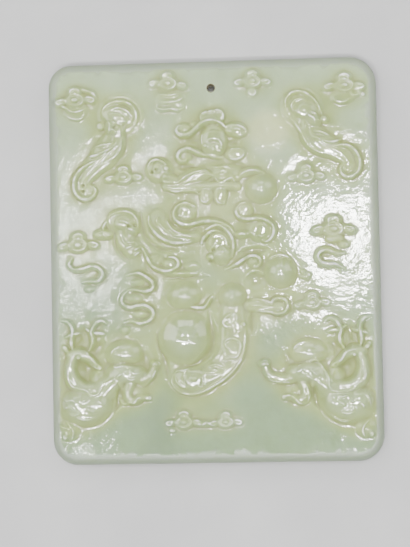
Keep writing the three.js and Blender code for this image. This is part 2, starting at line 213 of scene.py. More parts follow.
def arc(x, y, r0, r1, a0, a1, flat=1.0):
    """Points on an arc or spiral about (x, y), with its angles anticlockwise from +X."""
    n = max(2, int(abs(a1 - a0) / 35) + 1)
    t = np.linspace(0, 1, n)
    r, a = r0 + (r1 - r0) * t, np.radians(a0 + (a1 - a0) * t)
    return list(zip(x + r * np.cos(a), y + r * np.sin(a) * flat))


def cloud(x, y, size=1.0, lean=0.0):
    """A small cloud: a bead in an oval, a curled cap above it, a curl at each side and a lip below."""
    s = size
    lobe(x, y, 2.0 * s, 1.5 * s, 0.6, edge=0.8)
    lobe(x, y + 1.4 * s, 1.45 * s, 1.05 * s, 0.65, edge=0.8)
    ridge(arc(x, y + 1.35 * s, 0.95 * s, 0.85 * s, 215, -35, 0.7), 0.55 * s, 0.35)
    boss(x + 0.1, y + 1.25 * s, 0.45 * s, 0.32 * s, 0.95)
    ridge(arc(x, y, 1.5 * s, 1.5 * s, 160, -160, 0.68), 0.55 * s, 0.35)
    boss(x, y, 0.85 * s, 0.55 * s, 1.25, edge=0.7)
    for side in (-1, 1):
        cx, cy = x + side * 2.6 * s, y - 0.2 + side * lean
        boss(cx, cy, 1.35 * s, 0.8 * s, 0.6, -12 * side, full=2, edge=0.9)
        ridge([(cx - side * 1.0 * s, cy + 0.5 * s), (cx, cy + 0.5 * s), (cx + side * 0.9 * s, cy + 0.1 * s),
               (cx + side * 0.4 * s, cy - 0.4 * s), (cx - side * 0.3 * s, cy - 0.2 * s)], 0.45 * s, 0.4)


# The figures

def clouds():
    cloud(-26, 31.2, 1.05, 0.15)
    lobe(-25.8, 29.3, 2.2, 1.5, 0.5)
    band([(-25.4, 33.3), (-24, 33), (-22.6, 32.4), (-21.9, 31.4)], 0.9, 0.55)
    band([(-29, 30.2), (-27.8, 29.8), (-26.9, 29.1), (-25.9, 28.9), (-24.7, 29.2), (-23.8, 29.8)], 0.7, 0.75)
    band([(-28.2, 28.6), (-26.8, 27.8), (-25.2, 27.6), (-23.9, 28.4)], 0.6, 0.4)
    cloud(-8.3, 33.8, 1.0, -0.3)
    boss(-7.8, 30.6, 2.8, 2.2, 0.3, full=4, edge=1)
    band([(-5.4, 31.2), (-6.2, 30.6), (-7.6, 30.3), (-9.8, 30.4)], 0.8, 0.75)
    band([(-6, 32), (-7.8, 31.6), (-10, 31.9)], 0.6, 0.5)
    band([(-10.3, 30.1), (-10.4, 29.3), (-9.4, 28.9), (-7.8, 29), (-6.3, 28.8), (-5.3, 29.3)], (0.9, 0.7),
         (0.9, 0.7))
    cloud(7.7, 33.8, 0.95)
    lobe(7.6, 31.8, 1.0, 0.9, 0.5, edge=0.8)
    ridge(arc(7.6, 31.7, 0.65, 0.65, 120, 420), 0.4, 0.25)
    cloud(24.9, 32.5, 1.05)
    lobe(24.6, 30.3, 2.2, 1.4, 0.45)
    band([(22.9, 29.9), (23.8, 29.4), (24.8, 29.4), (25.9, 29.9)], 0.7, 0.8)
    lobe(26.9, 31.3, 1.3, 1.1, 0.55)
    pit(26.9, 31.2, 0.55, 0.4, 0.3)
    boss(28.3, 30.7, 0.45, 0.4, 0.8, edge=0.8)
    cloud(-17, 16.3, 0.95, 0.1)
    cloud(17.4, 15.7, 0.95, 0.1)
    cloud(-25.8, 3.7, 1.05, 0.1)
    band([(-27.1, 1.2), (-27.7, 0), (-26.7, -1), (-25.1, -1), (-23.3, -0.5), (-22, -0.9), (-21.4, -2),
          (-22.2, -3.1), (-23.8, -3.1), (-25.2, -3.3)], 1.0, 0.9, lean=0.35)
    boss(-23.8, -4.7, 1.0, 0.6, 0.45)
    cloud(22.3, 5.6, 1.1)
    boss(22.4, 3.8, 1.6, 0.8, BAND)
    boss(24.2, 2.6, 0.9, 0.7, LOW)
    band([(24.2, 1), (22.7, 1.1), (21.1, 1.8), (19.7, 1.5), (19.1, 0.5), (19.7, -0.6), (21.1, -1.1),
          (22.6, -1.1), (24, -1.9)], 1.0, 0.9, lean=0.35)
    cloud(18, -8.1, 0.9, 0.2)
    cloud(-6.4, -29.9, 0.95)
    boss(-8.6, -31.4, 0.7, 0.55, 0.7)
    band([(-4.2, -30.2), (-1.2, -30.3)], 1.3, LOW, BLUNT)
    ridge([(-3.9, -29.9), (-3, -30.6), (-2.2, -29.9), (-1.3, -30.5)], 0.5, 0.25)
    cloud(1.4, -30, 0.85, 0.1)


def top_left_bat():
    boss(-17.3, 28.2, 4.2, 3.7, 0.45, full=5, edge=1)
    band([(-21, 27.8), (-20.7, 29.3), (-19.6, 30.3), (-17.9, 30.8), (-16.2, 30.6), (-14.9, 29.6),
          (-14.3, 28.1), (-14.5, 26.6), (-15.4, 25.4)], 1.1, 0.75, lean=-0.2)
    groove([(-19.6, 31), (-17.2, 31.3), (-15.2, 30.5), (-14, 28.9), (-13.8, 27.3), (-14.3, 25.9)], 0.45, 0.25)
    lobe(-18.1, 28, 3.0, 2.2, 0.95, turn=-8, edge=0.8)
    ridge([(-19, 29.2), (-17.8, 29.4), (-16.6, 29.1), (-15.7, 28.4), (-15.2, 27.5), (-15.5, 26.7)], 0.6, 0.45)
    groove([(-17.5, 30.1), (-16.2, 29.8), (-15.1, 28.9)], 0.35, 0.25)
    groove([(-19.6, 28.4), (-18, 28.7), (-16.8, 28.1), (-16.2, 27.2)], 0.5, 0.15)
    boss(-19.1, 25.9, 1.3, 1.9, 1.15, turn=8, full=2.5, edge=0.7)
    boss(-17.9, 25.2, 1.5, 1.9, 0.85, full=2.5, edge=0.8)
    ridge([(-20, 27.2), (-19.4, 26.4), (-19.5, 25.2), (-19.8, 24.5), (-19.3, 23.9)], 0.6, 0.4)
    ridge([(-19, 27.1), (-18.5, 26.7), (-18, 26.5)], 0.5, 0.3)
    ridge(arc(-18.8, 24.8, 0.6, 0.5, 200, -60), 0.45, 0.3)
    pit(-18.45, 25.65, 0.3, 0.3, 0.9)
    boss(-21.2, 26.1, 0.8, 0.8, 0.75, edge=0.7)
    pit(-21.2, 25.3, 0.4, 0.25, 0.2)
    band([(-18.4, 24.6), (-19, 22.6), (-20.6, 20.4), (-22.6, 18.5), (-24.2, 16.6), (-24.9, 14.8)],
         (4.0, 4.6, 4.4, 3.6, 3.0, 2.6), (0.75, 0.75, 0.7, 0.65, 0.6), BLUNT, full=4, edge=0.9)
    band([(-17.2, 24), (-17.3, 22.4), (-17.9, 20.9), (-19, 19.9), (-20.6, 19.2)], 0.8, (0.9, 1.0, 0.9, 0.7))
    for line in ([(-22.4, 22.1), (-21.2, 22.4), (-19.8, 22.6), (-18.4, 22.9)],
                 [(-22.2, 20.9), (-20.8, 21.1), (-19.6, 21.6), (-18.2, 22.4)],
                 [(-23.6, 20.3), (-22.2, 20.5), (-21, 20.9)]):
        band(line, 0.75, (0.9, 1.3, 1.1))
    band([(-19.4, 20.3), (-21.2, 19.7), (-23, 19), (-24.6, 18), (-25.8, 16.6), (-26.2, 15), (-25.9, 13.6),
          (-25, 12.7), (-23.8, 12.5), (-22.8, 13), (-22.4, 14), (-23, 14.7), (-23.8, 14.8)],
         (0.9, 1.1, 1.3, 1.3, 1.2, 1.0), (0.95, 1.1, 1.15, 1.15, 1.1, 0.9), lean=-0.35)
    lobe(-24.1, 14, 1.6, 1.5, 0.6, edge=0.8)
    for v in (14.9, 13.85):
        pit(-24.7, v, 0.26, 0.24, 0.7)


def top_right_bat():
    boss(16.9, 28.6, 3.9, 3.5, 0.45, turn=-20, full=5, edge=1)
    band([(13.9, 28.2), (13.9, 29.8), (14.8, 31.1), (16.4, 31.5), (18.1, 30.8), (19.4, 29.6), (20.2, 28.1),
          (20.6, 26.9)], 1.1, 0.75, lean=0.2)
    groove([(15, 32), (17, 32), (18.9, 30.9), (20.3, 29)], 0.4, 0.2)
    lobe(17.1, 28.3, 2.7, 2.1, 0.95, turn=-25, edge=0.8)
    ridge([(15.1, 27.9), (14.9, 28.9), (15.4, 29.8), (16.4, 30.2), (17.6, 30.1)], 0.6, 0.45)
    groove([(14.5, 29.6), (15.3, 30.8), (16.8, 30.9)], 0.35, 0.2)
    groove([(16, 28.1), (16.4, 29), (17.6, 29.4), (18.8, 28.9)], 0.5, 0.15)
    boss(18.8, 26.4, 1.4, 1.8, 1.15, turn=35, full=2.5, edge=0.7)
    ridge([(17.8, 27.6), (18.2, 26.9), (19.1, 26.3), (19.3, 25.2)], 0.6, 0.4)
    ridge([(18.2, 27.7), (19, 27.5), (19.8, 27.2)], 0.5, 0.3)
    ridge(arc(19.8, 25.5, 0.6, 0.5, 130, -90), 0.45, 0.3)
    pit(18.9, 27.1, 0.25, 0.25, 0.35)
    boss(21, 26.2, 0.85, 0.75, 0.75, turn=-35, edge=0.7)
    boss(17.7, 25.3, 1.2, 1.7, 0.7, turn=30, full=2.5, edge=0.9)
    band([(18.2, 25), (18.8, 23.2), (20.6, 21.6), (22.8, 20.4), (24.6, 19.2), (25.6, 17.8)],
         (3.6, 4.4, 4.0, 3.4, 3.0, 2.6), (0.75, 0.75, 0.7, 0.65, 0.6), BLUNT, full=4, edge=0.9)
    band([(14.2, 27), (15.6, 25.5), (16.7, 23.8), (17.5, 22), (18.8, 20.6), (20.8, 19.8), (23, 19.3)], 0.8,
         0.55)
    for line in ([(18.7, 23.9), (20.2, 23.8), (22, 23)],
                 [(20.2, 22.4), (21.6, 21.9), (22.8, 21.9), (24, 22.3)],
                 [(18.8, 23), (19.7, 22.6), (20.6, 22.1)]):
        band(line, 0.75, (0.9, 1.3, 1.0))
    band([(20.6, 21.1), (22.2, 20.8), (24, 21.1), (25.5, 20.8), (26.6, 19.8), (27.2, 18.3), (27.1, 16.8),
          (26.3, 15.8), (25.2, 15.4), (24.2, 15.9), (23.9, 16.8), (24.5, 17.6), (25.3, 17.6)],
         (0.9, 1.1, 1.3, 1.3, 1.1, 1.0), (0.95, 1.1, 1.15, 1.15, 1.1, 0.9), lean=0.35)
    lobe(25.3, 17.2, 1.5, 1.4, 0.6, edge=0.8)
    ridge(arc(25.3, 17, 0.7, 0.4, 150, 420), 0.4, 0.25)


def side_bat():
    boss(-17.2, 7.9, 2.9, 2.3, 0.5, full=4, edge=1)
    band([(-20, 7.4), (-19.7, 9), (-18.7, 9.6), (-17, 9.9), (-15.6, 9.5), (-14.8, 8.7), (-14.4, 7.6),
          (-14.6, 6.4)], 0.9, 0.7, lean=-0.2)
    lobe(-17.2, 7.6, 2.0, 1.5, 0.85)
    ridge([(-18.1, 8), (-17, 7.95), (-16, 7.4)], 0.55, 0.4)
    ridge([(-18.8, 7), (-18.4, 8.4), (-17.2, 8.9), (-16, 8.6), (-15.2, 7.8)], 0.45, 0.2)
    boss(-15.6, 6.2, 1.3, 1.1, 1.15)
    pit(-16.2, 7.05, 0.28, 0.26, 0.6)
    pit(-15.0, 7.15, 0.28, 0.26, 0.6)
    ridge([(-16.4, 6.6), (-15.6, 6.3), (-14.8, 5.9)], 0.5, 0.3)
    lobe(-16.9, 4.6, 1.9, 2.4, 0.75, soft=0.3)
    lobe(-15.7, 2.8, 1.6, 1.8, 0.65, turn=-30, soft=0.3)
    groove([(-17.7, 5.8), (-17.3, 4.4), (-16.5, 3)], 0.5, 0.2)
    for line in ([(-16.7, 4), (-15.8, 3.9), (-14.9, 4.1)], [(-15.3, 2.3), (-14.6, 2.7), (-13.8, 3.2)],
                 [(-15.3, 1.3), (-14.6, 1.8), (-13.9, 2.3)], [(-16.9, 2.8), (-16.1, 3), (-15.4, 3.3)]):
        ridge(line, 0.6, 0.4)
    band([(-13.9, 3.2), (-13.3, 2.3), (-12.7, 1.1), (-12, -0.2), (-11, -1), (-9.6, -1.5), (-8.4, -1.4),
          (-7.3, -0.8), (-7, 0), (-7.6, 0.8), (-8.7, 1)], (0.9, 1.0, 1.1, 1.0), (0.9, 1.05, 1.1, 1.1, 0.9),
         lean=-0.2)
    lobe(-8.7, -0.2, 1.3, 0.9, 0.6)
    lobe(-11.2, 0.6, 1.4, 1.2, 0.4)
    lobe(-21, 5.6, 1.9, 1.0, 0.55)
    ridge([(-22, 5.8), (-21, 6.1), (-20, 5.9)], 0.5, 0.3)
    band([(-20.3, 8.2), (-21, 6.9), (-20.9, 5.4), (-20, 4.6)], 0.6, 0.5)
    groove([(-18.9, 5.6), (-18.6, 3.4), (-17.4, 1.6), (-16, 0.2)], 0.8, 0.25)


def deer(side, out, up, reach, crests):
    """A lying deer that looks back over its shoulder. side is -1 at the left and 1 at the right."""
    at = lambda u, v: (side * (u + out), v + up)
    line = lambda points: [at(*p) for p in points]

    def mass(u, v, rx, ry, rise, turn=0.0, full=2.5, edge=1.0, soft=0.5):
        boss(*at(u, v), rx, ry, rise, side * turn, full, edge, soft)

    def limb(points, width, rise):
        band(line(points), width, rise, BLUNT, full=2.5, edge=1.0, soft=0.4, line=0)

    mass(17.1, -17.2, 3.3, 2.4, 1.4, -3, 2.0, 0.8, 0.25)
    mass(16.8, -21, 3.7, 2.1, 1.55, 4)
    mass(14.6, -20.9, 1.7, 1.4, 1.3, 10)
    limb([(18, -21.8), (20.2, -23.2), (22.4, -25.2)], (3.6, 4.4, 5), (1.3, 1.3, 1.4))
    mass(24.2, -27, 4.6, 3.5, 1.5, -10, 3)
    mass(22, -26.6, 2.4, 2.4, 1.6, -30)
    mass(26.6, -26.2, 2.2, 2.2, 1.6)
    limb([(21, -22.8), (22.8, -23.7), (25, -23.6), (26.7, -22.2), (27.2, -20), (26.7, -17.8)],
         (2.2, 2.6, 2.8, 2.6, 2.2, 2.2), (1.2, 1.3, 1.3, 1.25, 1.25, 1.3))
    limb([(27, -17.3), (25.6, -17.1), (24.2, -17.8), (23, -18.9), (21.8, -19.8)], (2.2, 2.3, 1.9, 1.6, 1.3),
         (1.3, 1.4, 1.35, 1.25, 1.1))
    mass(22.2, -21.6, 1.6, 1.7, 0.6)
    mass(28, -16.3, 1.0, 0.55, 1.1, 50, soft=0.2)
    limb([(14.8, -21.9), (13.6 - reach / 2, -22.1), (12.4 - reach, -21.5), (11.6 - reach, -20.5),
          (11.4 - reach, -19.3)], (2.1, 1.8, 1.6, 1.5, 1.3), (1.15, 0.9, 0.8, 0.85, 0.9))
    mass(11.2 - reach, -19.2, 1.1, 0.8, 1.05, 10, soft=0.2)
    limb([(15.9, -22.8), (16.4, -24.2), (16.2, -25.6), (15.1, -26.1), (13.8, -25.5), (12.4, -25.6)],
         (2.3, 1.8, 1.6, 1.4, 1.1), (1.15, 0.95, 0.9, 0.85, 0.8))
    mass(14.6, -24.4, 1.5, 1.1, 0.4)
    mass(27.3, -31.4, 1.6, 1.7, 0.55)
    band(line([(28.2, -29.9), (27.2, -30.9), (26.8, -32), (27.2, -33.2)]), 0.8, 0.8)
    mass(28.4, -32.6, 0.6, 0.7, 0.7, soft=0.1)
    band(line([(20.2, -11.6), (21.1, -11), (22.1, -11.3), (22.8, -12.2), (23.2, -13.2), (22.9, -14.5),
               (23.2, -15.8), (24, -17)]), 1.0, (0.75, 0.95, 1.0, 1.1))
    band(line([(20.6, -13.5), (21.8, -13.3), (23.2, -13.3)]), 0.8, 0.8)
    band(line([(24.3, -12.4), (23.6, -12.9), (23.1, -13.5)]), 0.6, 0.7)
    band(line([(28.7, -10.9), (27.6, -11.1), (26.9, -12), (26.7, -13), (26.9, -14.2), (26.9, -15.6),
               (26.4, -16.8)]), 1.0, (0.75, 0.95, 1.0, 1.1))
    band(line([(25.4, -13.2), (26.8, -13.5), (28.2, -14)]), 0.8, 0.8)
    for rx, ry, depth, u, v, turn in ((1.2, 1.7, 0.9, 24, -20.2, 0), (1.1, 1.7, 0.6, 24.9, -13.8, 10),
                                      (0.9, 1.5, 0.6, 21.9, -16.3, 30), (0.8, 1.4, 0.4, 13, -18.4, 0)):
        pit(*at(u, v), rx, ry, depth, side * turn, 1.3)
    groove(line([(18.2, -22.9), (18.1, -24.6), (18.3, -26.6), (19, -28)]), 1.1, 0.45)
    groove(line([(13.6, -19.6), (15.2, -19.3), (16.8, -18.9), (18.2, -18.3)]), 0.6, 0.25)
    groove(line([(23, -17.4), (23.9, -16.7), (25.2, -16.1)]), 0.5, 0.15)
    boss(*at(25.6, -17.9), 0.4, 0.34, 1.6, edge=0.7)
    groove(line([(25, -17.6), (25.6, -17.4), (26.1, -17.7)]), 0.3, 0.2)
    pit(*at(22.1, -19.6), 0.22, 0.2, 0.3)
    groove(line([(21.3, -20.3), (22.4, -20.2), (23.2, -19.8)]), 0.35, 0.2)
    for points in crests:
        ridge(points, 0.55, 0.4)


def deer_pair():
    """Each deer also has fine crests of its own, because the two aren't carved alike."""
    deer(-1, 0.4, 0.3, 0, (
        [(-19.9, -18.7), (-19.6, -19.2), (-18.9, -19.5), (-17.8, -19.2), (-16.6, -19.4), (-15.6, -19.5)],
        [(-18.9, -21.5), (-18.3, -21), (-17.6, -20.6)], [(-16.2, -20), (-15.6, -20.7), (-14.3, -20.6)],
        [(-27.9, -19.1), (-28, -20.6), (-27.8, -21.9), (-27.2, -22.9), (-25.8, -23.3), (-24.6, -23.7),
         (-23.7, -24.5), (-22.6, -24.5), (-21.8, -23.6), (-21.4, -22.2)],
        [(-25.9, -16.4), (-24.8, -16.2), (-24, -17.1), (-23.2, -18), (-22.6, -18.8), (-22.2, -19)],
        [(-29.1, -25), (-28.4, -25.6), (-27.2, -25.5), (-26.3, -26)], [(-25.4, -25.8), (-24.6, -25.5)],
        [(-15, -22.9), (-13.7, -22.9), (-12.7, -22.2), (-12, -21.2), (-11.5, -20.2)],
        [(-12, -19.4), (-11.6, -18.8), (-11.2, -19.3)],
        [(-17.7, -23.4), (-18.4, -24.6), (-18.4, -25.7), (-17.6, -26.4), (-16.6, -26.2), (-15.6, -26.1),
         (-14.9, -25.3), (-14.2, -25.3)],
        [(-23.4, -29), (-25, -29.2), (-26.8, -28.7)], [(-30, -30), (-29, -30.7), (-27.8, -30.8)],
        [(-28.8, -26.9), (-27.7, -26.9), (-26.8, -27.6)], [(-27.9, -28.2), (-26.6, -28.3), (-25.6, -27.9)],
        [(-24.6, -26.9), (-23.6, -27.5), (-22.6, -27.4)], [(-22.4, -25.6), (-21.6, -26.3)],
        [(-16.9, -21.6), (-16.1, -21.9), (-15.2, -21.6)], [(-20, -17.2), (-19.2, -16.1), (-18, -15.4)],
    ))
    deer(1, 0, 0, 2.4, (
        [(15.1, -19.9), (15.7, -19.5), (16.6, -19.1), (17.6, -18.9), (18.4, -18.7), (19.1, -19.4),
         (19.8, -20.3), (20.5, -21.4), (20.8, -22.4), (20.8, -23.6), (21.2, -24.4), (22.4, -24.6),
         (23.8, -24.5), (25, -24.3), (26.2, -24.1)],
        [(14.8, -20.9), (15.4, -20.8), (16, -20.3)], [(17.5, -20.5), (18, -21.2), (18.8, -21.7)],
        [(26.2, -16.9), (25.2, -17), (24, -17.5), (23.4, -18.5), (22.8, -19.1), (21.8, -19.5), (21.2, -20.1)],
        [(21.3, -25.6), (21.9, -26)], [(22.4, -26.6), (23.2, -26.9), (23.6, -27.4)],
        [(24.6, -26.3), (25.3, -26.7)],
        [(26.4, -26.8), (27, -27.3), (27.1, -27.9)], [(27.5, -20), (27.6, -21.5), (27.3, -22.8)],
        [(14.2, -23), (12.2, -22.8), (10.3, -22.6), (9.2, -21.8), (8.3, -20.7)],
        [(8, -19.8), (8.7, -19.4), (9.4, -19.4), (9.9, -19.9)],
        [(16.3, -23.1), (17, -24.4), (17.1, -25.6), (16.7, -26.6), (15.8, -26.9), (15, -26.6), (14.4, -25.9),
         (13.6, -25.3), (12.2, -25.4)],
        [(20.8, -28.9), (22.2, -29.9), (23.6, -30.3), (25, -30)],
        [(23, -28.6), (24.2, -28.8), (25.4, -28.4)], [(27.6, -25), (28.2, -26.2), (28.3, -27.4)],
        [(22.4, -25.5), (23.4, -25.6), (24.2, -25.3)], [(25.4, -27.4), (26, -28)],
        [(16.4, -21.5), (17.2, -22), (18, -22.6)],
        [(14.2, -17.6), (14.6, -16.3), (15.8, -15.5), (17.4, -15.2)],
    ))


def crown():
    for u in (-1.3, 0, 1.2):
        boss(u, 27.2 + 0.15 * u, 1.15, 1.5, 0.75, turn=4, full=5, edge=0.9)
    ridge([(-2.3, 27.7), (-1.4, 28.1), (-0.2, 28.35), (0.8, 28.5), (1.9, 28.2)], 0.55, 0.45)
    ridge([(-2.2, 27.6), (-2.2, 26.5)], 0.45, 0.3)
    ridge([(2, 28.1), (2.1, 26.7)], 0.45, 0.3)
    band([(2.9, 24.7), (2.1, 25.6), (0.9, 26.4), (-0.4, 26.6), (-1.8, 26.2), (-3, 25.3), (-4, 24.4),
          (-5.2, 24), (-6.3, 24.2), (-6.8, 25), (-6.4, 25.7), (-5.4, 25.8)], (1.0, 1.3, 1.2, 1.1, 1.0),
         (0.9, 1.1, 1.2, 1.15, 1.0), full=3)
    groove([(2.3, 25), (1.1, 25.95), (-0.4, 26.25), (-1.7, 25.9), (-2.8, 25.1)], 0.4, 0.25)
    lobe(-5.2, 25.3, 1.2, 0.9, 0.6, edge=0.8)
    lobe(-3.3, 25.9, 1.0, 0.7, 0.4, edge=1)
    band([(2.6, 25), (3.6, 24.9), (4.8, 24.7), (6, 24.5)], (1.6, 2.4, 2.5, 1.4), (0.7, 0.85, 0.9, 0.8),
         full=3, edge=0.8)
    ridge([(3.2, 25.6), (4.6, 25.5), (5.8, 25), (6.4, 24.2), (5.8, 23.6), (4.6, 23.4), (3.7, 23.7)], 0.6, 0.4)
    ridge([(3.9, 24.7), (4.8, 24.9), (5.4, 24.4)], 0.7, 0.3)
    lobe(0.2, 22.7, 2.4, 3.0, 1.0, edge=0.7)
    ridge([(-1.9, 24.4), (-2.1, 22.8), (-1.8, 21.2)], 0.55, 0.3)
    ridge([(-0.9, 22.9), (0.2, 23.1), (1.2, 22.8), (1.7, 21.9), (1.9, 21.2)], 0.65, 0.45)
    groove([(-1.2, 24.7), (0.2, 25), (1.6, 24.6)], 0.5, 0.15)
    groove([(-1.2, 22.3), (0.2, 22.4), (1, 22.1)], 0.5, 0.25)
    boss(-1.4, 21.8, 0.55, 0.45, 1.3, edge=0.8)
    boss(1.5, 21.3, 0.6, 0.5, 1.3, edge=0.8)
    boss(0.1, 21.2, 0.65, 0.8, 1.3, edge=0.8)
    ridge([(0.3, 20.9), (1.3, 20.7), (2, 20.5)], 0.5, 0.3)
    ridge([(-1.4, 20.2), (-0.2, 19.7), (1, 19.5), (2, 19.6)], 0.6, 0.4)
    band([(-0.8, 19.9), (-2.2, 20.3), (-3.4, 20.9), (-4.8, 21.3), (-6, 20.9), (-6.6, 19.9), (-6.2, 19.1),
          (-5.2, 19.1), (-4.9, 19.9)], (1.3, 1.2, 1.1, 0.9), (0.8, 0.95, 1.1, 1.0), full=3)
    ridge([(-2.6, 20.4), (-3.9, 21.1), (-5.1, 21.5)], 0.4, 0.2)
    lobe(-5.3, 20, 1.3, 1.1, 0.5)
    lobe(4.3, 20.2, 1.9, 1.25, 0.65, turn=6, edge=0.8)
    ridge([(3, 19.3), (4.3, 19.1), (5.5, 19.6), (6, 20.4)], 0.6, 0.4)
    ridge([(3, 21), (4.3, 21.2), (5.4, 21)], 0.5, 0.25)
    pit(-5.2, 17.9, 1.6, 0.6, 0.5)
    pit(4.3, 17.8, 1.6, 0.6, 0.5)
    pit(3.9, 22.4, 0.9, 0.5, 0.3)
    pit(-3.8, 22.9, 1.0, 0.5, 0.3)


def leaves():
    lobe(-10.2, 17.4, 2.5, 2.3, 0.7)
    band([(-12.5, 17.6), (-11.9, 18.9), (-10.9, 19.4), (-9.6, 19.1), (-8.6, 18.2)], 0.7, 1.0)
    boss(-10.5, 17.6, 1.4, 1.2, 1.1)
    ridge([(-11.4, 18.2), (-10.5, 18.6), (-9.6, 18.1)], 0.5, 0.3)
    pit(-11.6, 17.1, 0.3, 0.28, 0.7)
    pit(-10.75, 17.45, 0.3, 0.28, 0.7)
    boss(-8.9, 17.7, 0.75, 0.7, 1.2)
    boss(-9.2, 16.2, 0.9, 0.8, 1.05)
    lobe(-8.1, 15.5, 1.9, 1.2, 0.8, turn=-20)
    ridge([(-9.9, 15.6), (-8.8, 15), (-7.4, 15.2)], 0.5, 0.3)
    band([(-7.6, 14.9), (-6.2, 15.2), (-4.6, 15.8), (-3, 16.3), (-1.4, 16.4), (0.1, 16.2)],
         (1.2, 2.2, 2.6, 2.2, 1.4), (0.7, 0.85, 0.8), full=3)
    ridge([(-7, 14.9), (-5.9, 15.6), (-4.6, 16.4), (-3.4, 16.9), (-2, 17.2), (-0.7, 17)], 0.55, 0.5)
    ridge([(-3.4, 15.3), (-2, 15), (-0.8, 15.3), (0.2, 15.9)], 0.5, 0.35)
    groove([(-6, 15), (-4.2, 15.9), (-2.4, 16.4)], 0.4, 0.2)
    lobe(2.6, 16.4, 3, 1.7, 0.55)
    ridge([(0.2, 16), (0.5, 15.5), (0.9, 15), (1.9, 15), (2.7, 15.4), (3.6, 15.6), (4, 14.8), (4.8, 14.2)],
          0.6, 0.5)
    ridge([(-0.6, 17.9), (0.8, 17.7), (2.2, 17.9), (3.4, 17.5)], 0.55, 0.35)
    boss(1.9, 17, 1.0, 0.6, 0.8)
    band([(4.7, 15.6), (5.4, 16.3), (6.6, 16.7), (8, 16.8), (9.6, 16.4)], (1.2, 1.6, 1.5, 1.0),
         (0.75, 0.85, 0.8), full=3)
    ridge([(5, 16), (5.6, 16.5), (6.7, 16.9), (8.2, 17)], 0.5, 0.4)
    band([(-9, 14.3), (-7.4, 14), (-5, 14), (-2.6, 14.1), (0, 14.2), (2.6, 14.2), (4.4, 14)], 1.6, 0.6,
         BLUNT, full=4)
    band([(-8.9, 13.9), (-7.6, 13.4), (-5.6, 13.4), (-3.6, 13.3), (-2.7, 12.7)], 0.55, 0.75)
    lobe(-1.4, 12.6, 1.3, 1.7, 0.65)
    lobe(1.2, 12.6, 1.3, 1.7, 0.65)
    ridge([(-2.6, 12.2), (-2.2, 11.3), (-1.2, 11.3), (-0.6, 11.9)], 0.5, 0.4)
    ridge([(0.4, 11.9), (0.9, 11), (1.9, 10.9), (2.3, 11.7)], 0.5, 0.4)


